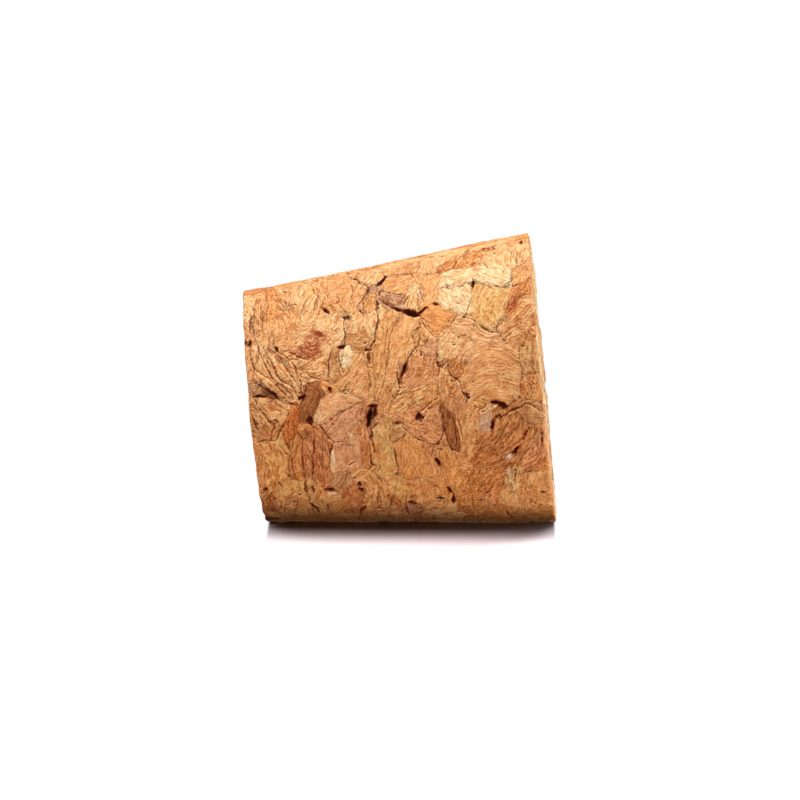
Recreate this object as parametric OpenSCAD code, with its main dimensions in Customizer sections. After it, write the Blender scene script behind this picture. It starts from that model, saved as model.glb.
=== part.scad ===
// Tapered stopper of agglomerated cork: coarse granules bonded together and ground to a taper.
// It stands on its small end, with the origin at the centre of that end and +Z along its axis.

/* [Body] */
// Diameter of the small end, which enters the neck first
small_d = 20; // [14:0.5:22]
// Diameter of the large end
large_d = 25; // [23:0.5:34]
// Length from end to end
body_len = 25; // [18:0.5:40]
// Radius that the grinding leaves on the rim of the small end
small_rim_r = 0.15; // [0.1:0.05:0.6]
// Radius that the grinding leaves on the rim of the large end
large_rim_r = 0.15; // [0.1:0.05:0.6]

/* [Voids between the granules] */
// Depth of a void as a share of its length
void_depth_share = 0.38; // [0.2:0.02:0.48]
// Number of voids scattered over the back of the side
back_voids = 26; // [0:1:40]
// Longest of the scattered voids
scatter_len_max = 1.9; // [1:0.1:2.3]
// Shortest of the scattered voids
scatter_len_min = 0.7; // [0.5:0.1:0.9]
// Width of a scattered void as a share of its length
scatter_width_share = 0.32; // [0.2:0.02:0.4]
// Number of voids scattered over each end
end_voids = 9; // [0:1:16]
// Margin left free of scattered voids along each rim
rim_margin = 1.6; // [1.2:0.1:3]
// Radius left free of voids around the centre of each end
centre_margin = 2.5; // [2:0.1:3]

/* [Chips in the rims] */
// Radius of the ball-shaped bite that a lost crumb leaves
chip_r = 0.9; // [0.7:0.05:1.5]
// How deep an ordinary chip bites in from the rim's corner
chip_bite = 0.3; // [0.1:0.05:0.4]
// How deep the worn spots bite in, where the stopper lies when it is on its side
worn_bite = 0.45; // [0.2:0.05:0.6]

/* [Hidden] */
$fn = 64;

small_r = small_d / 2;
large_r = large_d / 2;
// Angle between the side and the axis
side_angle = atan((large_r - small_r) / body_len);
// Turn from one scattered void to the next, which never lines them up
golden_turn = 137.5;
// Sector of the side that the scattered voids fill, counted from +X towards +Y
back_from = 92;
back_sector = 176;

// Voids of the front: angle round the axis, height as a share of the length, length and width
// of the mouth in mm, and the turn of the mouth from the axis, towards -Y where it is positive.
front_voids = [
    // the wide crevice and the two cracks that run on from it
    [-35.5, 0.58, 1.9, 0.70, -32],
    [-36, 0.62, 1.2, 0.35, 37],
    [-39, 0.535, 1.2, 0.28, -38],
    // the arch over the pebble near the large end
    [9, 0.865, 1.05, 0.45, -45],
    [7.5, 0.84, 0.8, 0.30, 5],
    [17, 0.825, 1.3, 0.28, 75],
    // the forked crevice half way along
    [5, 0.42, 0.9, 0.35, -5],
    [10, 0.405, 2.0, 0.42, 78],
    [8, 0.425, 1.0, 0.28, 72],
    // single pits and slits of the upper half, from the small end to the large
    [-33, 0.02, 0.7, 0.35, 90],
    [-27.5, 0.11, 0.6, 0.26, -45],
    [-45, 0.29, 1.05, 0.42, -58],
    [-23.5, 0.335, 0.8, 0.35, 15],
    [-65.5, 0.395, 0.6, 0.26, -60],
    [-59.5, 0.49, 1.4, 0.28, 60],
    [-38.5, 0.67, 0.6, 0.30, -20],
    [-45.5, 0.80, 1.0, 0.30, 85],
    [-72, 0.84, 0.6, 0.26, 60],
    [-70, 0.975, 0.8, 0.24, 85],
    // those along the middle
    [-4.5, 0.04, 1.1, 0.24, 5],
    [-2, 0.185, 0.7, 0.35, 25],
    [9, 0.205, 0.75, 0.55, 90],
    [-4, 0.28, 0.7, 0.30, -60],
    [-9.5, 0.54, 1.3, 0.26, 65],
    [11, 0.57, 0.8, 0.34, 70],
    // those of the lower half
    [45.5, 0.025, 0.5, 0.35, 20],
    [61, 0.18, 1.3, 0.24, -65],
    [47, 0.245, 0.85, 0.38, -8],
    [63, 0.345, 1.4, 0.30, 65],
    [47, 0.35, 0.7, 0.32, -70],
    [58, 0.52, 0.9, 0.32, -40],
    [32.5, 0.625, 1.0, 0.32, -72],
    [48.5, 0.655, 1.1, 0.28, -65],
    [55.5, 0.66, 1.1, 0.36, 80],
    [28.5, 0.895, 1.3, 0.28, 46],
    [51, 0.97, 0.5, 0.30, 30]
];

// Chips of the small rim and of the large rim: angle round the axis and depth of the bite
small_chips = [
    [38, chip_bite],
    [74, worn_bite],
    [86, worn_bite],
    [131, chip_bite],
    [188, chip_bite],
    [222, chip_bite]
];
large_chips = [
    [59, chip_bite],
    [82, worn_bite],
    [157, chip_bite],
    [211, chip_bite],
    [248, chip_bite]
];

// Radius of the side at a height
function side_r(height) = small_r + (large_r - small_r) * height / body_len;

// Radius at which a rim's rounding has its centre, towards -1 for the small end and +1 for the large
function rim_centre_r(end_r, rim_r, way) = end_r - rim_r * (1 + way * sin(side_angle)) / cos(side_angle);

// Length of a scattered void: a wave that repeats only after many steps
function scatter_len(i) = scatter_len_min + (scatter_len_max - scatter_len_min) * pow(sin(i * 67), 2);

// Lens-shaped slit between two granules. Its mouth lies on the plane x = 0, long along Z,
// and it opens towards +X.
module slit(length, width) {
    depth = void_depth_share * length;
    disc_r = (length * length / 4 + depth * depth) / (2 * depth);
    raise = disc_r - depth;
    half_width = width / 2 / (1 - pow(raise / disc_r, 2));
    ball_r = (disc_r * disc_r + half_width * half_width) / (2 * half_width);
    translate([raise, 0, 0])
        intersection() {
            translate([0, ball_r - half_width, 0]) sphere(ball_r);
            translate([0, half_width - ball_r, 0]) sphere(ball_r);
        }
}

// Pit where three granules meet: three slits that run out from one point
module junction(length, width) {
    arm = length * 0.62;
    for (turn = [0, 130, 235])
        rotate([turn, 0, 0]) translate([0, 0, arm * 0.3]) slit(arm, width);
}

// Puts its children on the side, with +X along the outward normal and +Z up the slope
module on_side(angle, height, turn) {
    rotate([0, 0, angle])
        translate([side_r(height), 0, height])
            rotate([0, side_angle, 0]) rotate([turn, 0, 0]) children();
}

// Puts its children on an end: -1 is the small end, +1 the large
module on_end(angle, radius, turn, way) {
    rotate([0, 0, angle])
        translate([radius, 0, way > 0 ? body_len : 0])
            rotate([0, -90 * way, 0]) rotate([turn, 0, 0]) children();
}

// Half of the ground section: straight side, flat ends and rounded rims
module half_section() {
    small_c = rim_centre_r(small_r, small_rim_r, -1);
    large_c = rim_centre_r(large_r, large_rim_r, 1);
    run_out = cos(side_angle);
    polygon([
        [0, 0],
        [small_c, 0],
        [small_c + small_rim_r * run_out, small_rim_r * (1 - sin(side_angle))],
        [large_c + large_rim_r * run_out, body_len - large_rim_r * (1 + sin(side_angle))],
        [large_c, body_len],
        [0, body_len]
    ]);
    translate([small_c, small_rim_r]) circle(small_rim_r);
    translate([large_c, body_len - large_rim_r]) circle(large_rim_r);
}

module front_void_cuts() {
    for (v = front_voids) on_side(v[0], v[1] * body_len, v[4]) slit(v[2], v[3]);
}

// Voids round the back of the side, on a spiral; every third one is a three-armed junction
module back_void_cuts() {
    span = body_len - 2 * rim_margin;
    for (i = [0:1:back_voids - 1]) {
        angle = back_from + i * golden_turn % back_sector;
        height = rim_margin + span * (i + 0.5) / back_voids;
        on_side(angle, height, i * golden_turn) scattered(i);
    }
}

// Voids in an end, spread evenly over the ring between its centre and its rim
module end_void_cuts(end_r, way) {
    inner = centre_margin * centre_margin;
    outer = pow(end_r - rim_margin, 2);
    for (i = [0:1:end_voids - 1]) {
        radius = sqrt(inner + (outer - inner) * (i + 0.5) / end_voids);
        on_end(i * golden_turn * way, radius, i * golden_turn, way) scattered(i + way);
    }
}

// One scattered void
module scattered(i) {
    length = scatter_len(i);
    if (i % 3 == 0) junction(length, length * scatter_width_share);
    else slit(length, length * scatter_width_share);
}

// Chips along a rim; way is -1 for the small end and +1 for the large
module chip_cuts(chips, end_r, way) {
    for (chip = chips)
        rotate([0, 0, chip[0]])
            translate([end_r, 0, way > 0 ? body_len : 0])
                rotate([0, -45 * way, 0]) translate([chip_r - chip[1], 0, 0]) sphere(chip_r);
}

module stopper() {
    color("burlywood")
        difference() {
            rotate_extrude() half_section();
            front_void_cuts();
            back_void_cuts();
            end_void_cuts(small_r, -1);
            end_void_cuts(large_r, 1);
            chip_cuts(small_chips, small_r, -1);
            chip_cuts(large_chips, large_r, 1);
        }
}

stopper();
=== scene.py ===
"""Looks of the tapered stopper: a ground mosaic of cork granules, with its light, floor and camera.

Sizes are in millimetres until a mesh is made. A place on the side is an angle round the axis, counted
from +X towards +Y, and a height along the axis. A place on an end is an angle and a radius. A turn is
the angle between a long shape and the axis, towards -Y where it is positive. Noise is written as layers,
each with the size of its features and how strong it is.
"""
import math

import bpy
import numpy as np
from mathutils import Matrix


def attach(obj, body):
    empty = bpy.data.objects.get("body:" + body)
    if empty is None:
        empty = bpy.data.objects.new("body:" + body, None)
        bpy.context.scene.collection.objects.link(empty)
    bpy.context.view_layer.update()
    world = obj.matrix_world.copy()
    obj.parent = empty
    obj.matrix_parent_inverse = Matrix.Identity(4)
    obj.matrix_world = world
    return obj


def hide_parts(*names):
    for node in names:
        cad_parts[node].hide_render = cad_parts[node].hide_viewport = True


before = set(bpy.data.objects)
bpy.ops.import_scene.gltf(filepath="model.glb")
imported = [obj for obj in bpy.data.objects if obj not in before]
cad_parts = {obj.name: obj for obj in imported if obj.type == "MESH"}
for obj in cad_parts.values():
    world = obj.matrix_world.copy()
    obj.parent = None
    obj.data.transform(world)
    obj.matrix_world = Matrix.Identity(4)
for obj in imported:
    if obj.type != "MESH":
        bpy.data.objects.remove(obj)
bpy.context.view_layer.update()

MM = 0.001
GRANULE_RNG = np.random.default_rng(11)
MARK_RNG = np.random.default_rng(23)
LATTICE_CELLS = 32
LATTICE = np.random.default_rng(5).uniform(-1, 1, (LATTICE_CELLS, LATTICE_CELLS, LATTICE_CELLS, 3))

# ---- the ground form, with the sizes of the part's source
SMALL_R = 10.0
LARGE_R = 12.5
LENGTH = 25.0
SMALL_RIM_R = 0.15
LARGE_RIM_R = 0.15
SIDE_ANGLE = math.atan((LARGE_R - SMALL_R) / LENGTH)
# outward normal of the side: its share away from the axis and its share along it
SIDE_N = np.array([math.cos(SIDE_ANGLE), -math.sin(SIDE_ANGLE)])

# scattered voids: a slit's sizes, the arms of every third one, and how they are spread
VOID_DEPTH_SHARE = 0.38
SCATTER_LEN = (0.7, 1.9)
SCATTER_TURN = 67
SCATTER_WIDTH_SHARE = 0.32
ARM_SHARE = 0.62
ARM_OFFSET = 0.3
ARM_TURNS = (0, 130, 235)
GOLDEN_TURN = 137.5
BACK_FROM = 92
BACK_SECTOR = 176
BACK_VOIDS = 26
END_VOIDS = 9
RIM_MARGIN = 1.6
CENTRE_MARGIN = 2.5

# chips of the rims: angle and how deep they bite
CHIP_R = 0.9
CHIP_BITE = 0.3
WORN_BITE = 0.45
SMALL_CHIPS = (
    (38, CHIP_BITE), (74, WORN_BITE), (86, WORN_BITE), (131, CHIP_BITE), (188, CHIP_BITE), (222, CHIP_BITE),
)
LARGE_CHIPS = ((59, CHIP_BITE), (82, WORN_BITE), (157, CHIP_BITE), (211, CHIP_BITE), (248, CHIP_BITE))

# Voids of the front: angle, height as a share of the length, length, width, turn
FRONT_VOIDS = (
    (-35.5, 0.58, 1.9, 0.70, -32), (-36, 0.62, 1.2, 0.35, 37), (-39, 0.535, 1.2, 0.28, -38),
    (9, 0.865, 1.05, 0.45, -45), (7.5, 0.84, 0.8, 0.30, 5), (17, 0.825, 1.3, 0.28, 75),
    (5, 0.42, 0.9, 0.35, -5), (10, 0.405, 2.0, 0.42, 78), (8, 0.425, 1.0, 0.28, 72),
    (-33, 0.02, 0.7, 0.35, 90), (-27.5, 0.11, 0.6, 0.26, -45), (-45, 0.29, 1.05, 0.42, -58),
    (-23.5, 0.335, 0.8, 0.35, 15), (-65.5, 0.395, 0.6, 0.26, -60), (-59.5, 0.49, 1.4, 0.28, 60),
    (-38.5, 0.67, 0.6, 0.30, -20), (-45.5, 0.80, 1.0, 0.30, 85), (-72, 0.84, 0.6, 0.26, 60),
    (-70, 0.975, 0.8, 0.24, 85), (-4.5, 0.04, 1.1, 0.24, 5), (-2, 0.185, 0.7, 0.35, 25),
    (9, 0.205, 0.75, 0.55, 90), (-4, 0.28, 0.7, 0.30, -60), (-9.5, 0.54, 1.3, 0.26, 65),
    (11, 0.57, 0.8, 0.34, 70), (45.5, 0.025, 0.5, 0.35, 20), (61, 0.18, 1.3, 0.24, -65),
    (47, 0.245, 0.85, 0.38, -8), (63, 0.345, 1.4, 0.30, 65), (47, 0.35, 0.7, 0.32, -70),
    (58, 0.52, 0.9, 0.32, -40), (32.5, 0.625, 1.0, 0.32, -72), (48.5, 0.655, 1.1, 0.28, -65),
    (55.5, 0.66, 1.1, 0.36, 80), (28.5, 0.895, 1.3, 0.28, 46), (51, 0.97, 0.5, 0.30, 30),
)

# ---- colours of cork, sRGB 0-255
TONES = {
    "chalk": (255, 252, 246), "pearl": (252, 234, 204), "pale": (242, 208, 164), "cream": (236, 196, 148),
    "sand": (230, 174, 122), "blush": (226, 166, 120), "peach": (226, 160, 104), "straw": (220, 168, 106),
    "tan": (216, 152, 98), "honey": (206, 146, 86), "amber": (208, 140, 80), "orange": (212, 136, 74),
    "rose": (208, 150, 112), "clay": (204, 136, 90), "olive": (184, 132, 82), "umber": (194, 124, 66),
    "brick": (190, 118, 70), "copper": (190, 108, 52), "rust": (178, 76, 28), "mauve": (184, 126, 98),
    "pebble": (184, 148, 128), "ash": (170, 126, 92), "drab": (154, 92, 48), "bark": (138, 60, 18),
    "seam": (106, 26, 2), "wine": (98, 20, 6), "char": (54, 10, 3),
}

# Granules of the front: angle, height, length, width, turn, tone and how strongly they are layered
FRONT_GRANULES = (
    # along the top of the picture
    (-77, 14.0, 3.6, 1.6, 5, "sand", 0.3), (-77, 18.0, 3.6, 1.6, 5, "sand", 0.2),
    (-77, 22.0, 3.4, 1.5, 5, "sand", 0.3), (-47, 24.0, 2.4, 1.5, 85, "peach", 0.3),
    # from the small end to the dark seam under the large tan granule
    (-79, 1.1, 2.6, 2.0, 0, "brick", 0.3), (-55, 1.6, 5.4, 1.0, 88, "tan", 0.5),
    (-60, 0.45, 4.6, 1.1, 90, "sand", 0.4), (-30, 1.45, 1.9, 1.1, 80, "sand", 0.2),
    (-58, 2.6, 4.4, 1.0, 88, "orange", 0.5), (-37, 3.5, 5.0, 2.5, 86, "tan", 0.3),
    (-33, 6.8, 4.4, 3.4, 40, "sand", 0.35), (-49, 5.7, 3.4, 1.0, 78, "sand", 0.1),
    (-50, 6.7, 3.0, 0.9, 85, "tan", 0.6), (-16, 6.2, 3.0, 1.9, 15, "tan", 0.6),
    (-15, 2.7, 6.2, 2.9, -52, "tan", 0.9), (-20, 0.35, 3.2, 0.8, 88, "tan", 0.3),
    (-9, 0.7, 1.6, 1.4, 60, "ash", 0.3), (-5, 1.9, 2.9, 0.75, -42, "drab", 0.8),
    (2, 2.4, 3.0, 1.9, -45, "tan", 0.5), (4.5, 2.3, 1.5, 1.2, 0, "sand", 0.1),
    (8, 0.7, 3.2, 1.4, -70, "olive", 0.5), (0, 5.4, 2.8, 1.5, 63, "drab", 0.4),
    (-16, 7.5, 2.6, 0.95, 80, "olive", 0.3), (-19.5, 8.8, 2.5, 1.25, 70, "cream", 0.1),
    # round pinkish granules and the columns below them
    (3.5, 7.2, 3.6, 2.0, 25, "blush", 0.15), (12, 7.9, 3.3, 2.8, 60, "rose", 0.15),
    (28, 7.8, 2.9, 2.6, 80, "rose", 0.1), (30, 6.6, 2.2, 0.5, 85, "sand", 0.0),
    (41, 7.1, 2.3, 1.6, 60, "ash", 0.4), (38, 8.7, 1.5, 1.2, 30, "sand", 0.4),
    (10, 3.4, 3.6, 1.2, 72, "copper", 0.6), (14, 4.6, 1.4, 0.9, 60, "umber", 0.5),
    (13, 1.8, 2.2, 1.0, 62, "umber", 0.4), (31, 1.7, 6.4, 2.2, 84, "honey", 0.5),
    (33, 0.45, 5.0, 0.7, 88, "tan", 0.4), (45.5, 2.4, 2.2, 2.0, 90, "straw", 0.3),
    (27, 3.5, 4.0, 1.4, 82, "umber", 0.5), (28, 4.6, 4.6, 0.9, 86, "brick", 0.8),
    (31, 5.7, 5.6, 1.2, 88, "brick", 0.6), (46, 4.35, 3.4, 0.6, 86, "straw", 0.5),
    (48, 5.1, 3.0, 0.8, 80, "tan", 0.5), (58, 0.8, 3.0, 1.1, 84, "brick", 0.7),
    (60, 1.9, 3.2, 1.1, 75, "tan", 0.6), (54, 3.1, 2.4, 1.3, 35, "tan", 0.4),
    (65, 3.3, 3.0, 1.4, 80, "tan", 0.5), (62, 5.2, 3.2, 1.1, -80, "tan", 0.5),
    (53, 6.4, 2.0, 1.5, 30, "sand", 0.2), (56, 7.9, 4.0, 1.4, 85, "brick", 0.5),
    (47, 8.4, 1.8, 1.2, 60, "brick", 0.4),
    # the middle
    (-34.5, 9.7, 2.1, 1.7, 60, "sand", 0.2), (-25.5, 9.8, 2.2, 1.9, 0, "olive", 0.4),
    (-34, 11.1, 3.2, 1.2, 84, "sand", 0.3), (-33, 12.5, 2.4, 1.3, 75, "honey", 0.4),
    (-17, 11.3, 5.4, 1.7, 78, "honey", 0.35), (-9, 9.4, 3.6, 2.7, 50, "tan", 0.3),
    (-19, 13.5, 6.4, 2.0, 72, "peach", 0.15), (-9, 13.4, 1.9, 0.5, 66, "drab", 0.4),
    (-9, 15.1, 4.0, 2.4, 62, "clay", 0.35), (-16, 15.9, 1.8, 1.3, 45, "rose", 0.3),
    (-31, 16.8, 2.9, 2.5, -25, "orange", 0.25), (-27, 15.7, 2.2, 0.6, -70, "tan", 0.4),
    (2, 13.8, 4.2, 1.4, 24, "peach", 0.6), (14.5, 14.6, 3.8, 3.4, -30, "clay", 0.5),
    (4, 11.5, 3.2, 1.2, 74, "tan", 0.3), (16, 11.2, 2.5, 1.3, 80, "straw", 0.3),
    (31.5, 11.3, 3.0, 1.5, 90, "straw", 0.2), (30, 13.4, 4.8, 2.6, 84, "amber", 0.3),
    (18, 12.6, 1.6, 1.2, 0, "olive", 0.4), (14, 9.55, 4.6, 0.9, 84, "clay", 0.6),
    (28, 9.6, 2.6, 0.8, 86, "umber", 0.6), (-43.5, 13.0, 2.4, 1.3, -35, "ash", 0.7),
    (-44, 14.8, 2.4, 1.3, 80, "sand", 0.4), (-46, 15.5, 2.4, 0.5, 80, "tan", 0.6),
    (-50, 16.3, 4.2, 1.4, 84, "tan", 0.25), (-55, 13.6, 3.0, 2.4, 40, "tan", 0.3),
    (-68, 13.8, 3.4, 2.4, 70, "tan", 0.4), (-57, 8.8, 4.8, 2.2, 82, "tan", 0.2),
    (-49, 9.9, 4.2, 0.9, 84, "tan", 0.3), (-46, 10.9, 2.6, 1.0, 80, "honey", 0.4),
    (-53.5, 11.4, 1.4, 1.1, 60, "ash", 0.7), (-60, 12.25, 2.0, 0.42, 62, "char", 0.5),
    # from the cream granules to the large end
    (-38, 18.5, 3.4, 2.5, -60, "cream", 0.1), (-51, 18.9, 2.9, 2.1, 0, "cream", 0.1),
    (-48, 21.8, 3.2, 2.4, -35, "cream", 0.1), (-33, 20.9, 4.8, 3.1, 80, "straw", 0.15),
    (-34, 23.5, 3.4, 1.3, 55, "orange", 0.9), (-23, 23.3, 3.4, 2.0, 35, "tan", 0.6),
    (-26.5, 18.9, 2.6, 1.9, -20, "blush", 0.2), (-18.5, 17.4, 2.8, 1.5, 65, "sand", 0.1),
    (-15.5, 18.7, 2.2, 1.5, 50, "blush", 0.3), (-19, 20.8, 3.0, 1.3, -18, "blush", 0.4),
    (-3.5, 21.0, 5.2, 4.8, 0, "peach", 0.15), (-7, 18.0, 1.9, 1.3, 45, "umber", 0.4),
    (-8, 24.2, 2.8, 1.5, 85, "olive", 0.5), (2.5, 24.1, 2.4, 1.7, 70, "amber", 0.5),
    (4.5, 17.8, 2.0, 1.6, 60, "clay", 0.4), (-4, 16.8, 3.0, 1.0, 84, "tan", 0.4),
    (18, 16.95, 3.7, 1.1, -84, "drab", 0.6), (20, 18.4, 4.8, 1.7, 78, "tan", 0.3),
    (17, 20.0, 1.9, 1.1, 72, "pebble", 0.1), (10, 20.5, 1.7, 0.7, 20, "sand", 0.5),
    (24, 21.6, 7.4, 3.6, 47, "umber", 1.0), (13, 23.8, 2.4, 2.3, 0, "olive", 0.5),
    (30, 24.0, 4.6, 1.8, 62, "clay", 0.8), (46, 18.8, 5.0, 3.0, 62, "umber", 0.8),
    (42, 16.4, 5.4, 1.9, 84, "amber", 0.4), (33, 15.2, 2.8, 1.2, -84, "tan", 0.4),
    (45, 13.4, 2.2, 2.0, 45, "tan", 0.4), (46, 21.7, 3.4, 1.1, 80, "sand", 0.7),
    (56, 21.2, 2.2, 1.6, 85, "sand", 0.2), (59, 22.8, 2.6, 1.5, 80, "tan", 0.5),
    (45, 23.8, 3.0, 2.2, 80, "tan", 0.5), (52, 9.6, 4.0, 1.1, 84, "tan", 0.5),
    (51, 10.7, 3.6, 1.0, 84, "tan", 0.6), (46, 12.1, 2.6, 1.6, 80, "straw", 0.2),
    (63, 12.9, 2.2, 1.5, 85, "mauve", 0.5), (56, 14.6, 3.0, 2.4, 60, "tan", 0.4),
    (64, 15.8, 2.8, 2.0, 50, "blush", 0.3), (58, 17.9, 3.6, 1.9, 80, "umber", 0.5),
    (57, 19.8, 2.8, 1.6, 80, "clay", 0.5),
    # the far upper edge
    (-66, 4.6, 3.5, 2.0, 85, "sand", 0.3), (-68, 7.0, 3.0, 1.6, 80, "tan", 0.3),
    (-74, 10.0, 2.5, 1.6, 90, "tan", 0.3), (-66, 11.2, 3.0, 1.3, 85, "sand", 0.3),
    (-66, 16.5, 4.0, 1.8, 88, "sand", 0.2), (-64, 19.5, 3.2, 1.8, 70, "orange", 0.7),
    (-63, 22.2, 3.0, 2.0, 60, "sand", 0.2), (-60, 24.0, 4.0, 1.3, 85, "sand", 0.4),
)

# Granules thrown over the rest, from large to small: length and how many tries
THROWN_GRANULES = ((4.4, 500), (3.2, 1600), (2.3, 3600), (1.5, 4200))
FRONT_TONES = ("tan", "honey", "sand", "amber", "orange", "clay", "umber", "peach", "tan", "amber")
BACK_TONES = 2 * FRONT_TONES + (
    "rose", "blush", "olive", "straw", "brick", "cream", "pale", "mauve", "ash", "drab", "drab",
)
# the large end's tones are paler than the side's: painted light, for how brightly that end is lit
LARGE_END_PAINTED_LIGHT_TONES = (
    "cream", "pale", "pale", "cream", "cream", "sand", "sand", "blush", "cream", "rose", "tan", "peach",
)
# how strongly a thrown granule is layered: one of these
LAYERING = (0.1, 0.2, 0.3, 0.4, 0.6, 0.9)
# its length as a share of that above, its width as a share of its length
THROWN_LENGTH = (0.75, 1.2)
THROWN_WIDTH = (0.36, 0.85)
# the mean turn of most of them and how it strays, and their share; the others lie anyhow
THROWN_TURN = (82, 24)
TURNED_SHARE = 0.6
# shares of the tries: those up to the first fall on the side, those up to the second on the large end
THROWN_SHARES = (0.69, 0.88)
# how deep a centre lies, as a share of the width, and how much of its size a granule keeps clear of others
CENTRE_DEPTH = 0.25
GRANULE_ROOM = 0.42

# Stains: angle, height, length, width, turn, tone and strength
STAINS = (
    (-24.5, 5.6, 2.0, 1.6, 0, "rust", 0.95), (-31, 6.6, 1.6, 0.9, -40, "rust", 1.0),
    (-28, 6.0, 1.8, 1.0, -45, "rust", 0.8), (-20.5, 3.15, 1.9, 0.5, -62, "wine", 0.8),
    (-16.5, 3.5, 0.8, 0.6, -60, "rust", 0.7), (-8, 1.5, 1.3, 0.4, -40, "drab", 0.8),
    (15.5, 4.55, 0.6, 0.6, 0, "char", 0.6), (23, 8.25, 0.25, 0.25, 0, "wine", 0.8),
    (11, 9.35, 0.35, 0.3, 0, "wine", 0.8), (-17.5, 18.7, 0.7, 0.4, 80, "rust", 0.6),
    (-32.5, 23.2, 2.3, 0.8, 55, "rust", 0.9), (-35, 23.6, 1.5, 0.4, 55, "wine", 0.6),
    (-37, 23.8, 0.8, 0.4, 60, "rust", 0.6), (21.5, 23.3, 1.0, 0.25, 45, "rust", 0.7),
    (31, 21.72, 0.5, 0.5, 0, "chalk", 1.0), (39, 21.5, 0.5, 0.3, 30, "pearl", 0.5),
    (44.5, 21.75, 0.35, 0.2, 0, "pearl", 0.5), (53, 15.65, 0.25, 0.2, 0, "pearl", 0.9),
    (39, 12.1, 0.55, 0.45, 0, "wine", 0.6), (44.5, 13.2, 0.5, 0.25, -60, "wine", 0.7),
    (44.6, 14.8, 0.45, 0.3, 0, "wine", 0.6), (-43, 13.7, 0.6, 0.5, 0, "rust", 0.7),
    (61, 19.9, 0.8, 0.8, 0, "drab", 0.5), (66.5, 19.3, 0.7, 0.5, 0, "char", 0.5),
    (53.5, 13.3, 0.7, 0.6, 0, "drab", 0.8), (56, 2.9, 0.4, 0.3, 0, "char", 0.7),
    (54, 11.3, 1.6, 0.4, 80, "drab", 0.6), (-57.5, 20.6, 0.5, 0.3, 0, "rust", 0.6),
    (-64, 17.85, 0.4, 0.3, 0, "rust", 0.7), (-66.5, 3.65, 0.7, 0.25, -60, "rust", 0.8),
    (-54, 2.85, 0.5, 0.25, 60, "rust", 0.6), (-47, 2.9, 0.4, 0.5, 0, "rust", 0.7),
    (-62.5, 8.7, 0.4, 0.3, 0, "rust", 0.5), (-28.4, 2.62, 0.22, 0.22, 0, "pearl", 0.9),
    (9.5, 10.35, 2.3, 0.8, 80, "char", 0.6), (-6, 1.8, 2.3, 0.6, -52, "char", 0.6),
)
STAIN_SOFTNESS = 0.3
STAIN_NOISE = ((0.8, 0.22),)

# Small pits and stains thrown over the back and the ends: how many, and their lengths
PITS = (70, (0.3, 0.7))
PIT_DEPTH_SHARE = 0.3
BACK_STAINS = (60, (0.3, 1.3))
BACK_STAIN_TONES = ("rust", "drab", "wine", "char", "pearl")
BACK_STAIN_STRENGTH = 0.6
# their width as a share of the length, their shares as for granules, their sector and how far they keep in
SMALL_WIDTH = (0.3, 0.8)
SMALL_SHARES = (0.6, 0.82)
SMALL_SECTOR = (88, 272)
SMALL_MARGIN = 0.6
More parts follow.
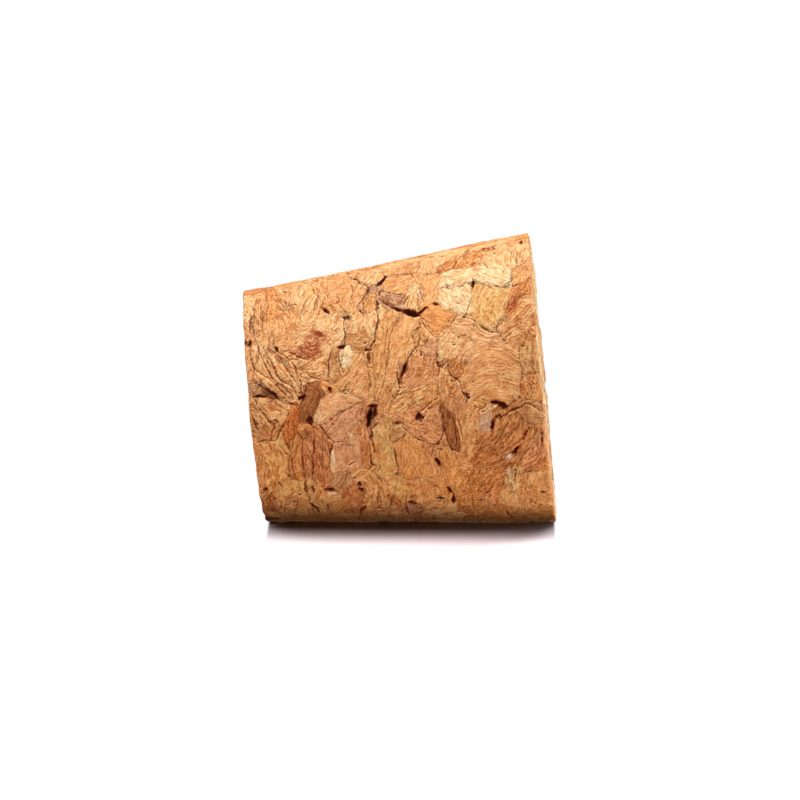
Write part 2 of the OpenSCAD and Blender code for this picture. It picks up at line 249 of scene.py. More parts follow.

# Fine marks of the front that only the looks have, read off the photo: tone, strength and width,
# and then the marks, each with the places that it runs through, as angle and height
MARKS = (
    # slits and specks as dark as a void, their black partly the painted shade of a hollow
    ("char", 0.95, 0.28, (
        ((-38.7, 8.8), (-38.6, 9.1)), ((-40, 9.7),), ((-42, 10.2), (-38.5, 10.4)), ((-41.2, 11.75),),
        ((-48, 20), (-46, 20.1), (-45.5, 20.4)), ((-29.5, 19),), ((-29, 17.75),), ((-17.8, 18),),
        ((-10, 1.1), (-8, 1.5), (-6.5, 1.8), (-5, 2.3), (-3, 2.5)), ((1.5, 4.1),),
        ((-20.5, 10.4), (-20.5, 10.8)), ((11.2, 9.4),), ((17.2, 9.25),), ((20.2, 7),), ((39.7, 8.35),),
        ((43, 8.6), (44, 8.7)), ((50.2, 3.45),), ((12, 14.25), (10, 14.4), (13, 14.5)), ((11.5, 14.8),),
        ((2.5, 18.35), (4.5, 18.75), (6, 18.6)), ((13.4, 21), (13.4, 21.3)), ((50.8, 21.2),),
        ((22, 24.65), (26, 24.7)), ((56.7, 18.9), (56.3, 19.1)), ((54.5, 15.2), (54.5, 15.7)),
    )),
    # dark red slits and specks
    ("wine", 0.85, 0.22, (
        ((-69, 3.5), (-66, 3.75)), ((-64, 10.1), (-60.5, 10.25)), ((-66, 22.85),), ((-63, 22),),
        ((-35, 0.15), (-31, 0.2)), ((-23, 8.1),), ((-24, 8.6),), ((-33, 6.2), (-31, 6.7)), ((-24, 10.35),),
        ((-41.3, 23.1),), ((-33.5, 23), (-30, 22.7)), ((-34, 23.4), (-30, 23.4)), ((-23.5, 23.9),),
        ((-13.5, 23.85),), ((-2, 13),), ((-11.5, 0.75),), ((-16.5, 15.1), (-15, 15.1)),
        ((-12, 16.3), (-8.5, 16.7), (-10, 17)), ((-5, 8.4),), ((-2, 8.35),), ((5, 12.4),),
        ((13.4, 12.3), (13.6, 12.9)), ((24, 15.3), (24, 15.9)), ((11, 19.9),), ((23, 8.3),),
        ((46, 16.15), (49, 16.4), (52, 16.65), (58, 16.45)), ((13.2, 20.95), (16, 20.75), (19.5, 20.4)),
        ((15, 10.2), (17, 10.25), (20, 10.15), (25.5, 10.3)), ((28, 9.95), (32, 9.8), (33.5, 10.3)),
        ((24.5, 2.75),), ((41, 1.8), (44.5, 2)), ((56, 2.8),), ((40, 4.1), (44, 4), (48, 4.05)),
        ((44, 4.6), (48, 4.7)), ((57.5, 4.1), (63, 4.8), (67, 4.85)), ((57.5, 2.35),),
        ((38, 22.2), (41, 22.1), (43.5, 21.95)), ((41, 21.4),), ((62, 17.4), (64, 17.1)),
        ((19, 23.7), (21, 23.4), (23, 23.1)), ((52, 21.8),),
    )),
    # dark joints between granules
    ("seam", 0.85, 0.15, (
        ((-52, 0.55), (-50, 0.8), (-48, 0.6), (-45, 0.65), (-42, 0.5), (-39, 0.65)),
        ((-59, 10.7), (-55, 11.1), (-51, 10.8), (-47, 10.2), (-45, 9.95), (-42, 10.1), (-38, 10.45)),
        ((-57, 11.6), (-54, 11.75), (-51.5, 11.95), (-49, 11.9)), ((-56, 11.3), (-52.5, 11.6)),
        ((-47, 11.8), (-44, 12.3), (-41, 12.8), (-38, 13.3)), ((-45, 12.5), (-41.5, 13), (-39.5, 13.2)),
        ((-46, 11.6), (-43, 11.7), (-40, 11.5)), ((-26, 3.2), (-24, 4.2), (-22, 4.5), (-19.5, 5.4)),
        ((-6, 0.45), (0, 0.7), (5, 1.3), (8, 1.6), (10, 2.1), (14, 1.7), (17, 1.6)),
        ((-2, 2.7), (0, 3), (0.5, 3.7), (1.5, 4.1), (5, 4.25)), ((-3.5, 4.9), (0, 4.2)),
        ((-20, 8.05), (-16, 8.1), (-12, 8.3)), ((-38, 8.8), (-34, 8.65), (-30, 8.8), (-24, 8.6)),
        ((-41, 11.5), (-35, 11.7), (-32, 11.55), (-26.5, 11.25)), ((-25.2, 11.3), (-21, 10.7)),
        ((-20, 10.6), (-14.5, 10.65)), ((-20, 14.95), (-17, 14.4), (-13.5, 13.9), (-6, 13.2)),
        ((-8, 12.9), (-2, 13)), ((10, 14.4), (8, 14.9), (6, 15.3), (4, 16)),
        ((-29, 19.3), (-27.5, 19.9), (-23, 20.7), (-21, 21.1), (-21, 21.7)),
        ((-8, 17.3), (-5, 17.4), (-3.5, 17.9), (-1, 18.3), (2, 18.3)), ((3, 0.1), (8, 0.35), (11.5, 0.55)),
        ((17.5, 0.4), (17, 1), (17.5, 1.9)), ((8, 3), (11, 2.7), (14, 2.35), (17, 2.1)),
        ((11, 5.6), (12.5, 6), (14.5, 6.2), (18, 6.5), (20.2, 7), (20.3, 7.7)),
        ((20.5, 6.9), (26, 6.4), (35, 6.35)), ((18, 5.3), (22, 5.2), (26, 5.1)),
        ((28, 4.9), (32, 4.95), (36, 4.8), (42, 4.6)), ((34.5, 7.3), (32.5, 7.9), (30.2, 8.6)),
        ((10, 16.6), (15, 16.4), (25, 16.7), (28, 17.1), (25, 17.35), (18, 17.4), (11, 17.3)),
        ((15, 12.9), (18, 13.4), (22, 14.2), (24.5, 15.5), (21.5, 16.2), (17, 16.45), (11, 16.4)),
        ((14.5, 21.3), (11, 22.5), (11, 23), (8.5, 23.6), (10, 24.1), (12, 24.7)),
        ((44, 20.2), (50, 19.8), (52, 19.2)), ((53, 11.4), (56, 11.2), (59, 11.1)),
        ((57.5, 12.4), (62, 12.4), (70, 12.5)), ((65, 20.9), (70, 21.1), (76, 21.4)),
    )),
    # thin brown lines along and inside granules
    ("bark", 0.6, 0.12, (
        ((-60, 4.2), (-55, 4.1), (-51, 3.8)), ((-58, 5.7), (-50, 5.2), (-42, 4.9)),
        ((-58, 6.5), (-54, 6.75), (-50, 7)), ((-56, 7.35), (-53, 7.5)),
        ((-49, 8.2), (-45, 8.6), (-42, 8.9)), ((-53, 8.1), (-51, 8.45), (-49, 8.4), (-48, 8.1), (-48, 7.6)),
        ((-60, 9.5), (-55, 9.7), (-47, 9.3)), ((-46, 14.4), (-41.5, 14)),
        ((-52, 14.3), (-50.5, 14.7), (-52.5, 15.2)), ((-50, 15.3), (-41, 15.6)),
        ((-64, 14.6), (-60, 14.75), (-53, 15.2)), ((-65, 17.2), (-60, 17.45), (-56, 17.85)),
        ((-48.5, 17.6), (-45, 17.85)), ((-70, 19.6), (-64, 19.2)), ((-44.5, 18.75), (-47.7, 19.5)),
        ((-45.5, 20.4), (-44.5, 21), (-42, 21.4), (-40, 21.9), (-40, 22.4)), ((-65, 20.6), (-61, 20.9)),
        ((-41, 23), (-43, 23.2), (-45.5, 23.6)), ((-57, 23.85), (-50, 23.9)), ((-58, 21), (-52, 21.5)),
        ((-35, 2.2), (-28, 2.15)), ((-8.5, 5.1), (-5, 6), (-2, 6.3), (3, 5.7), (7, 5.4)),
        ((-22, 7.4), (-18, 7.2), (-10, 7)), ((-14, 5.1), (-11, 5.5), (-10, 6), (-8, 7)),
        ((-33, 13.3), (-27, 12.6), (-14, 12.15), (-5, 11.75), (3, 11)), ((-25, 15.2), (-20, 14.9)),
        ((-31, 15.4), (-27, 15.7), (-22, 16.4)), ((-9, 16.5), (0, 16.3)), ((-37, 19.7), (-30, 19.1)),
        ((-21, 21.7), (-25, 21.8), (-28, 22.8)), ((-7, 18.4), (-10, 18.8)), ((-15, 21), (-14.5, 21.4)),
        ((-7, 23.2), (-7, 23.6), (0, 23.5)), ((-8, 24.1), (-3, 24.6), (0, 24.8)), ((20, 2.3), (23, 2.6)),
        ((3, 4.2), (7, 4.3), (10, 4.1), (18, 3.5)), ((35, 6.35), (38, 6.4), (36.5, 6.9)),
        ((14.5, 11.9), (21, 11.7)), ((25, 12), (34, 12.1)), ((32, 12), (38.5, 12.6)),
        ((25, 15.4), (30, 15.1)), ((5, 17.6), (13, 17.75), (22, 17.95)),
        ((22.5, 19.8), (28, 19.2), (34, 18.6)), ((43, 20.5), (45, 20.1)), ((52, 12.6), (57, 12.4)),
        ((55, 18.3), (64, 18.2), (69, 18.5)), ((54, 20.6), (60, 21)), ((55, 23), (60, 23.6)),
        ((66, 23), (69, 22.6)), ((72, 24.8), (76, 24.6)), ((39, 10.8), (39.5, 11.6)),
    )),
    # grey bruises and pale flecks
    ("mauve", 0.6, 0.5, (
        ((-55, 11.3), (-52, 11.8)), ((-46, 10), (-42, 10)), ((-12, 13.2), (-8, 13.4)),
        ((61, 12.8), (64, 13.2)),
    )),
    ("pearl", 0.8, 0.2, (
        ((-62, 3),), ((-28.5, 2.6),), ((-48, 14.6), (-46, 14.4)), ((-50, 15.1), (-46, 15.35), (-42, 15.5)),
        ((25, 6.7), (33, 6.8)), ((17, 8.4), (19, 8.6)), ((31, 10.1),), ((53, 15.7),), ((44, 21.7),),
        ((37, 21.7), (39, 21.4)), ((49.5, 6), (49.5, 6.5)), ((45, 21.3),),
    )),
    ("chalk", 1.0, 0.6, (((31.2, 21.8),),)),
)

# Lines that lie alongside each other: tone, strength, width, how many, and the first and the last of them
FAMILIES = (
    # the growth layers that bend down from the small end
    ("seam", 0.75, 0.13, 5, ((-31, 0.5), (-24, 0.6), (-17.5, 0.95), (-12, 1.9), (-6, 2.85), (0, 3.7)),
     ((-27, 2.8), (-22, 3.6), (-17, 4.1), (-12, 4.5), (-8, 4.8), (-3, 4.7))),
    # those of the large granule under the pebble
    ("bark", 0.5, 0.12, 7, ((13, 21.7), (22, 20.2), (32, 18.9)), ((26, 24.2), (36, 22.6), (48, 20.6))),
    # streaks across the side, from the small end onwards
    ("bark", 0.5, 0.11, 4, ((-60, 0.8), (-50, 1), (-40, 0.9)), ((-58, 2.1), (-48, 2.1), (-38, 1.9))),
    ("bark", 0.4, 0.12, 3, ((50, 0.9), (60, 0.6), (70, 1.0)), ((54, 3.4), (62, 3.0), (72, 2.6))),
    ("bark", 0.5, 0.12, 4, ((18, 3.4), (32, 3.1), (46, 3.6)), ((18, 6), (32, 5.8), (46, 5.6))),
    ("bark", 0.5, 0.12, 3, ((44, 9.3), (53, 9.7), (61, 9.3)), ((45, 11.8), (56, 11.6), (66, 11.9))),
    ("bark", 0.4, 0.11, 3, ((34, 13.5), (46, 13.9), (58, 14.2)), ((38, 17.8), (50, 18.2), (62, 18.1))),
)
# how far a line of a family strays from its course: degrees and height
FAMILY_DRIFT = (0.9, 0.12)

# Cracks thrown over the side that the photo doesn't show: tone, strength, width and how many
BACK_CRACKS = (
    ("char", 0.9, 0.28, 34), ("wine", 0.85, 0.22, 34), ("seam", 0.85, 0.15, 30), ("bark", 0.6, 0.12, 44),
)
# how far such a crack runs from one place to the next, and how much it bends: degrees and height
CRACK_STRIDE = (3.5, 0.35)
CRACK_BEND = (1.2, 0.12)

# how deep a mark of each tone cuts into the cork, as a share of its width, or how far it stands out
MARK_CUT = {"char": 0.45, "seam": 0.4, "wine": 0.35, "bark": 0.3, "pearl": -0.2}
# how far off marks are felt, how wide they are drawn and how that varies, and how they wander and swell
MARK_REACH = 1.0
MARK_SHARE = 0.95
MARK_SPREAD = (0.75, 1.25)
MARK_NOISE = ((0.4, 0.05),)
SWELL_NOISE = ((0.7, 0.75),)
SWELL_LIMITS = (0.2, 2)
# how far a mark's wall reaches outwards and inwards of its edge
MARK_WALL = (0.07, 0.05)
# painted shade close to a void or a dark mark: how much of the colour it leaves there
PAINTED_HOLLOW_SHADE = np.array([0.72, 0.42, 0.20])

# ---- sizes of the surface
# edge lengths on the side and the ends, how much finer the front is, and points round a rim
SIDE_STEP = 0.225
END_STEP = 0.3
FRONT_BIAS = 0.34
RIM_POINTS = 4
# how near to a mark, a void or a stain edges are halved, and how strong a mark of the back has to be
REFINE_REACH = 0.12
VOID_REFINE_REACH = 0.16
STAIN_REFINE_EDGE = -0.4
BACK_REFINE_POWER = 0.7

# how far granules stand out or in, and over what width they meet at a seam
RELIEF = 0.06
SEAM_STEP = 0.18
# depth and width of the skin's sag at a seam, and of the groove in it; the pit where three granules meet
SEAM_SAG = (0.03, 0.28)
SEAM_GROOVE = (0.05, 0.07)
HUB_PIT = 0.06
# how much weaker the seams are on the front, and how far before the axis they are fully so
FRONT_SEAM_LOSS = 0.25
FRONT_SEAM_REACH = 4.0
# noise of the edges of voids and stains, of where the seams run, of the skin and of the void floors
EDGE_NOISE = ((0.55, 0.10), (0.2, 0.06))
SEAM_NOISE = ((1.3, 0.26), (0.5, 0.13))
SKIN_NOISE = ((2.6, 0.03), (0.9, 0.02), (0.35, 0.018))
VOID_FLOOR_NOISE = ((0.3, 0.25),)
# the rims: their own noise and how far it reaches, and how ragged the chips are
RIM_NOISE = ((0.9, 0.07),)
RIM_REACH = 0.5
CHIP_RAGGEDNESS = 0.5
# how much wider the large end is at the picture's top, and from what height on
TOP_WIDENING = 0.22
WIDENING_FROM = 10.0
# edges of the mesh from this angle on are shaded as sharp
SHARP_ANGLE = 52

# tones of the granules: how far they are drawn to tan, how much they stray, and the gain of all
TONE_PULL = 0.3
TONE_STRAY = 0.12
TONE_GAIN = np.array([1.16, 1.12, 0.98])
# how much the layers of a granule bend, and how far apart the granules lie in the grain's noise
GRAIN_BEND = 0.35
GRAIN_SPREAD = 40


def linear(tone):
    """An sRGB tone of TONES as linear light."""
    c = np.array(TONES[tone]) / 255
    return np.where(c <= 0.04045, c / 12.92, ((c + 0.055) / 1.055) ** 2.4)


# ---- places and noise
def side_r(height):
    return SMALL_R + (LARGE_R - SMALL_R) * height / LENGTH


def turned(out, base, turn):
    """The axes of a long shape on a surface: along it, across it and out of the surface."""
    t = math.radians(turn)
    along = math.cos(t) * base + math.sin(t) * np.cross(out, base)
    return np.array([along, np.cross(out, along), out])


def on_side(angle, height, turn=0.0, depth=0.0):
    """A place on the side, or below it, and the axes of a shape there."""
    c, s = math.cos(math.radians(angle)), math.sin(math.radians(angle))
    out = np.array([SIDE_N[0] * c, SIDE_N[0] * s, SIDE_N[1]])
    slope = np.array([-SIDE_N[1] * c, -SIDE_N[1] * s, SIDE_N[0]])
    r = side_r(height)
    return np.array([r * c, r * s, height]) - depth * out, turned(out, slope, turn)


def on_end(angle, radius, turn, way, depth=0.0):
    """The same on an end: way is -1 for the small end and +1 for the large."""
    radial = np.array([math.cos(math.radians(angle)), math.sin(math.radians(angle)), 0.0])
    out = np.array([0.0, 0.0, way])
    place = radius * radial + np.array([0.0, 0.0, LENGTH if way > 0 else 0.0]) - depth * out
    return place, turned(out, -way * radial, turn)


def hash01(*keys):
    """A repeatable number from 0 to 1 for whole-number keys."""
    total = sum(np.asarray(k) * w for k, w in zip(keys, (12.9898, 78.233, 37.719)))
    return np.modf(np.abs(np.sin(total + 0.731)) * 43758.5453)[0]


def noise3(points, size, seed=0):
    """Smooth noise from -1 to 1 in three channels, with features of the given size."""
    p = points / size + 17.31 * (seed + 1)
    base = np.floor(p).astype(int)
    f = p - base
    f = f * f * (3 - 2 * f)
    total = np.zeros((len(points), 3))
    for corner in np.ndindex(2, 2, 2):
        weight = np.prod([f[:, k] if corner[k] else 1 - f[:, k] for k in range(3)], axis=0)
        i, j, k = ((base + corner) % LATTICE_CELLS).T
        total += weight[:, None] * LATTICE[i, j, k]
    return total


def layered(points, layers, seed):
    """Noise of several sizes added up."""
    return sum(reach * noise3(points, size, seed + k) for k, (size, reach) in enumerate(layers))


def smoothstep(low, high, value):
    t = np.clip((value - low) / (high - low), 0, 1)
    return t * t * (3 - 2 * t)


def hump(value, width):
    """A bell that is 1 where the value is 0."""
    return np.exp(-(value / width) ** 2)


def ragged(points):
    return layered(points, EDGE_NOISE, 3)


def warped(points):
    """Where a point is looked up among the granules, so that the seams between them wander."""
    return points + layered(points, SEAM_NOISE, 1)


# ---- granules
# how thick a granule is, as a share of its length and width together
THICKNESS_SHARE = 1 / 3.4
# how many points are looked up in one go, and what keeps the distance to a seam finite
POINTS_AT_ONCE = 3000
LEAST_STEEPNESS = 0.15


class Granules:
    """The ellipsoids whose nearest one, measured in its own sizes, owns each spot of the cork."""

    def __init__(self):
        self.place, self.axes, self.half, self.tone, self.layers = [], [], [], [], []

    def add(self, place, axes, length, width, tone, layers):
        self.place.append(place)
        self.axes.append(axes)
        self.half.append((length / 2, width / 2, (length + width) * THICKNESS_SHARE))
        self.tone.append(linear(tone))
        self.layers.append(layers)

    def has_room(self, place, length, width):
        """Whether a granule there would stay clear of all the others."""
        room = 1 + GRANULE_ROOM * (length + width) / 2 / np.array(self.half)[:, :2].mean(1)
        offset = np.einsum("gij,gj->gi", np.array(self.axes), place - np.array(self.place))
        return np.all(np.linalg.norm(offset / np.array(self.half), axis=1) > room)

    def freeze(self):
        """Ends the adding and works out what the search needs."""
        for name in ("place", "axes", "half", "tone", "layers"):
            setattr(self, name, np.array(getattr(self, name), float))
        self.place = warped(self.place)
        self.scaled = self.axes / self.half[:, :, None]
        self.offset = np.einsum("gij,gj->gi", self.scaled, self.place)

    def reach(self, points, owner):
        """How far each point is from its granule's centre, as a share of the granule's size."""
        local = np.einsum("nij,nj->ni", self.scaled[owner], points) - self.offset[owner]
        return np.linalg.norm(local, axis=1)

    def nearest(self, points):
        """For each point the nearest granule, the second nearest and how far the seam between them is."""
        first, second, gap = [], [], []
        for chunk in np.array_split(points, max(1, len(points) // POINTS_AT_ONCE)):
            local = np.einsum("gij,nj->ngi", self.scaled, chunk, optimize=True) - self.offset
            reach = np.linalg.norm(local, axis=2)
            row = np.arange(len(chunk))
            a = reach.argmin(1)
            reach_a = reach[row, a].copy()
            reach[row, a] = np.inf
            b = reach.argmin(1)
            reach_b = reach[row, b]
            slope_a = np.einsum("nij,ni->nj", self.scaled[a], local[row, a]) / reach_a[:, None]
            slope_b = np.einsum("nij,ni->nj", self.scaled[b], local[row, b]) / reach_b[:, None]
            steepness = np.linalg.norm(slope_b - slope_a, axis=1)
            first.append(a)
            second.append(b)
            gap.append((reach_b - reach_a) / np.maximum(steepness, LEAST_STEEPNESS))
        return np.concatenate(first), np.concatenate(second), np.concatenate(gap)


def plant_front(granules):
    for angle, height, length, width, turn, tone, layers in FRONT_GRANULES:
        place, axes = on_side(angle, height, turn, CENTRE_DEPTH * width)
        granules.add(place, axes, length, width, tone, layers)


def thrown_height():
    """A height drawn so that every spot of the side is as likely."""
    ratio = (SMALL_R / LARGE_R) ** 2
    radius = LARGE_R * math.sqrt(ratio + (1 - ratio) * GRANULE_RNG.random())
    return LENGTH * (radius - SMALL_R) / (LARGE_R - SMALL_R)


def plant_rest(granules):
    """Throws ever smaller granules at what is still free."""
    rng = GRANULE_RNG
    for size in [size for size, tries in THROWN_GRANULES for _ in range(tries)]:
        length = size * rng.uniform(*THROWN_LENGTH)
        width = length * rng.uniform(*THROWN_WIDTH)
        turn = rng.normal(*THROWN_TURN) if rng.random() < TURNED_SHARE else rng.uniform(0, 180)
        pick = rng.random()
        depth = CENTRE_DEPTH * width
        if pick < THROWN_SHARES[0]:
            height = thrown_height()
            place, axes = on_side(rng.uniform(0, 360), height, turn, depth)
            tones = FRONT_TONES if place[0] > 0 else BACK_TONES
        else:
            large = pick < THROWN_SHARES[1]
            way, end_r, tones = (1, LARGE_R, LARGE_END_PAINTED_LIGHT_TONES) if large else (-1, SMALL_R, BACK_TONES)
            place, axes = on_end(rng.uniform(0, 360), end_r * math.sqrt(rng.random()), turn, way, depth)
        if granules.has_room(place, length, width):
            tone = tones[rng.integers(len(tones))]
            granules.add(place, axes, length, width, tone, rng.choice(LAYERING))


# ---- small features
def scattered(i, turn, place_of):
    """The slits of scattered void i as the part's source cuts them: place, axes, length and width."""
    low, high = SCATTER_LEN
    length = low + (high - low) * math.sin(math.radians(i * SCATTER_TURN)) ** 2
    width = length * SCATTER_WIDTH_SHARE
    if i % 3:
        return [(*place_of(turn), length, width)]
    arm = length * ARM_SHARE
    arms = [place_of(turn + arm_turn) for arm_turn in ARM_TURNS]
    return [(place + axes[0] * arm * ARM_OFFSET, axes, arm, width) for place, axes in arms]


def source_slits():
    """Every void of the part's source."""
    slits = [(*on_side(angle, share * LENGTH, turn), length, width)
             for angle, share, length, width, turn in FRONT_VOIDS]
    span = LENGTH - 2 * RIM_MARGIN
    for i in range(BACK_VOIDS):
        angle = BACK_FROM + i * GOLDEN_TURN % BACK_SECTOR
        height = RIM_MARGIN + span * (i + 0.5) / BACK_VOIDS
        slits += scattered(i, i * GOLDEN_TURN, lambda turn: on_side(angle, height, turn))
    inner = CENTRE_MARGIN ** 2
    for end_r, way in ((SMALL_R, -1), (LARGE_R, 1)):
        outer = (end_r - RIM_MARGIN) ** 2
        for i in range(END_VOIDS):
            radius = math.sqrt(inner + (outer - inner) * (i + 0.5) / END_VOIDS)
            place_of = lambda turn: on_end(i * GOLDEN_TURN * way, radius, turn, way)
            slits += scattered(i + way, i * GOLDEN_TURN, place_of)
    return slits


def scatter_small(count, lengths):
    """Small shapes over the back and the ends: place, axes, length and width."""
    rng = GRANULE_RNG
    shapes = []
    for _ in range(count):
        length = rng.uniform(*lengths)
        width = length * rng.uniform(*SMALL_WIDTH)
        turn = rng.uniform(0, 180)
        pick = rng.random()
        if pick < SMALL_SHARES[0]:
            angle = rng.uniform(*SMALL_SECTOR)
            place, axes = on_side(angle, rng.uniform(SMALL_MARGIN, LENGTH - SMALL_MARGIN), turn)
        else:
            way, end_r = (1, LARGE_R) if pick < SMALL_SHARES[1] else (-1, SMALL_R)
            angle = rng.uniform(0, 360)
            place, axes = on_end(angle, (end_r - SMALL_MARGIN) * math.sqrt(rng.random()), turn, way)
        shapes.append((place, axes, length, width))
    return shapes


def stain_shapes():
    """Every stain: place, axes, length, width, colour and strength."""
    front = [(*on_side(angle, height, turn), length, width, linear(tone), strength)
             for angle, height, length, width, turn, tone, strength in STAINS]
    back = [(*shape, linear(BACK_STAIN_TONES[i % len(BACK_STAIN_TONES)]), BACK_STAIN_STRENGTH)
            for i, shape in enumerate(scatter_small(*BACK_STAINS))]
    return front + back


def unrolled(angle, height):
    """The side laid flat: how far round it a place is, and how far along it."""
    return np.stack([np.radians(angle) * side_r(height), height], -1)


def rounded(places):
    """A bent line with its corners cut off twice."""
    for _ in range(2):
        first, second = places[:-1], places[1:]
        inner = np.stack([0.75 * first + 0.25 * second, 0.25 * first + 0.75 * second], 1).reshape(-1, 2)
        places = np.vstack([places[:1], inner[1:-1] if len(places) > 2 else inner, places[-1:]])
    return places


def family(count, first, last):
    """Lines in even steps from a first to a last, each a little off its course."""
    first, last = np.array(first, float), np.array(last, float)
    lines = [first + (last - first) * share for share in np.linspace(0, 1, count)]
    return [line + MARK_RNG.normal(0, FAMILY_DRIFT, line.shape) for line in lines]


def back_crack():
    """A crooked line somewhere on the back of the side."""
    start = [MARK_RNG.uniform(BACK_FROM, BACK_FROM + BACK_SECTOR), MARK_RNG.uniform(0.5, LENGTH - 0.5)]
    steps = MARK_RNG.normal(0, CRACK_STRIDE) + MARK_RNG.normal(0, CRACK_BEND, (MARK_RNG.integers(1, 4), 2))
    return start + np.vstack([[0, 0], np.cumsum(steps, 0)])


def mark_groups():
    """Every mark, in groups alike in tone, strength and width."""
    yield from MARKS
    for tone, strength, width, count, first, last in FAMILIES:
        yield tone, strength, width, family(count, first, last)
    for tone, strength, width, count in BACK_CRACKS:
        yield tone, strength, width, [back_crack() for _ in range(count)]


def mark_segments():
    """The straight pieces of all marks: both ends, half widths there, colour, strength and cut."""
    segments = []
    for tone, strength, usual_width, lines in mark_groups():
        cut = strength * MARK_CUT.get(tone, 0.0)
        for line in lines:
            width = usual_width * MARK_RNG.uniform(*MARK_SPREAD)
            places = unrolled(*np.array(line, float).T)
            places = rounded(places) if len(places) > 1 else places + [[0, 0], [0, 0.01]]
            share = np.linspace(0, 1, len(places))
            half = MARK_SHARE * width / 2 * (0.3 + 0.8 * np.sin(math.pi * (0.04 + 0.92 * share)) ** 0.7)
            for k in range(len(places) - 1):
                segments.append((places[k], places[k + 1], half[k], half[k + 1], linear(tone), strength, cut))
    return segments


granules = Granules()
plant_front(granules)
plant_rest(granules)
granules.freeze()
slits = source_slits()
pits = scatter_small(*PITS)
stains = stain_shapes()
segments = mark_segments()


# ---- surface fields
def near_shape(points, place, length):
    """The points that may lie within a shape, with room for its ragged edge."""
    return np.flatnonzero(np.abs(points - place).max(1) < length / 2 + 0.5)


def void_fields(points):
    """How far each point is inside the mouth of a void (below 0: outside), and how deep the void is there."""
    inside = np.full(len(points), -1.0)
    depth = np.zeros(len(points))
    rough = points + ragged(points)
    for shapes, share in ((slits, VOID_DEPTH_SHARE), (pits, PIT_DEPTH_SHARE)):
        for place, axes, length, width in shapes:
            near = near_shape(points, place, length)
            along, across, _ = axes @ (rough[near] - place).T
            across = np.abs(across)
            inside[near] = np.maximum(inside[near], width / 2 * (1 - (2 * along / length) ** 2) - across)
            # the hollow is what two balls share, as in the part's source
            deep = share * length
            disc_r = (length ** 2 / 4 + deep ** 2) / (2 * deep)
            raised = disc_r - deep
            half = width / 2 / (1 - (raised / disc_r) ** 2)
            ball_r = (disc_r ** 2 + half ** 2) / (2 * half)
            under = ball_r ** 2 - (across + ball_r - half) ** 2 - along ** 2
            depth[near] = np.maximum(depth[near], np.sqrt(np.maximum(under, raised ** 2)) - raised)
    return np.clip(inside, -1, 1), depth


def stain_fields(points):
    """The nearest stain: its colour, its edge from -1 outside to 1 inside, and its strength."""
    colour = np.tile(linear("rust"), (len(points), 1))
    best = np.full(len(points), -1.0)
    strength = np.zeros(len(points))
    rough = points + ragged(points) + layered(points, STAIN_NOISE, 14)
    for place, axes, length, width, tint, power in stains:
        near = near_shape(points, place, length)
        along, across, _ = axes @ (rough[near] - place).T
        share = np.sqrt((2 * along / length) ** 2 + (2 * across / width) ** 2)
        edge = np.clip((1 - share) * width / 2 / STAIN_SOFTNESS, -1, 1)
        wins = near[edge > best[near]]
        best[wins] = edge[edge > best[near]]
        colour[wins] = tint
        strength[wins] = power
    return colour, best, strength


def mark_fields(points):
    """The nearest mark: signed and plain distance, half width, colour, strength and cut."""
    near_side = np.flatnonzero(np.hypot(points[:, 0], points[:, 1]) > side_r(points[:, 2]) - MARK_REACH)
    rough = points[near_side] + layered(points[near_side], MARK_NOISE, 12)
    angle = (np.degrees(np.arctan2(rough[:, 1], rough[:, 0])) + 90) % 360 - 90
    flat = unrolled(angle, rough[:, 2])
    sink = side_r(rough[:, 2]) - np.hypot(rough[:, 0], rough[:, 1])
    swell = np.clip(1 + layered(points[near_side], SWELL_NOISE, 21)[:, 0], *SWELL_LIMITS)
    order = np.argsort(flat[:, 1])
    heights = flat[order, 1]
    signed, far = np.full((2, len(points)), MARK_REACH)
    half, strength, cut = np.zeros((3, len(points)))
    colour = np.tile(linear("char"), (len(points), 1))
    for start, end, half_a, half_b, tint, power, deep in segments:
        low, high = sorted((start[1], end[1]))
        rows = order[np.searchsorted(heights, low - MARK_REACH):np.searchsorted(heights, high + MARK_REACH)]
        length = np.linalg.norm(end - start)
        way = (end - start) / length
        offset = flat[rows] - start
        share = np.clip(offset @ way / length, 0, 1)
        beside = offset - share[:, None] * (end - start)
        distance = np.sqrt((beside ** 2).sum(1) + sink[rows] ** 2)
        width = (half_a + (half_b - half_a) * share) * swell[rows]
        wins = distance - width < far[near_side[rows]] - half[near_side[rows]]
        at = near_side[rows[wins]]
        signed[at] = (way[0] * offset[:, 1] - way[1] * offset[:, 0])[wins]
        far[at], half[at], strength[at], cut[at], colour[at] = distance[wins], width[wins], power, deep, tint
    return signed, far, half, colour, strength, cut


# ---- the mesh
def rim_centre_r(end_r, rim_r, way):
    return end_r - rim_r * (1 + way * math.sin(SIDE_ANGLE)) / math.cos(SIDE_ANGLE)


def rim(centre_r, centre_z, rim_r, start, stop):
    """The points round a rim, each with its radius, height, normal and step."""
    turns = [(math.cos(t), math.sin(t)) for t in np.linspace(start, stop, RIM_POINTS)]
    return [(centre_r + rim_r * c, centre_z + rim_r * s, c, s, SIDE_STEP) for c, s in turns]


def flat(centre_r, height, way):
    """The same for an end, from its centre to where the rim begins."""
    radii = np.linspace(0, centre_r, round(centre_r / END_STEP))[:-1]
    return [(r, height, 0.0, way, END_STEP) for r in radii]


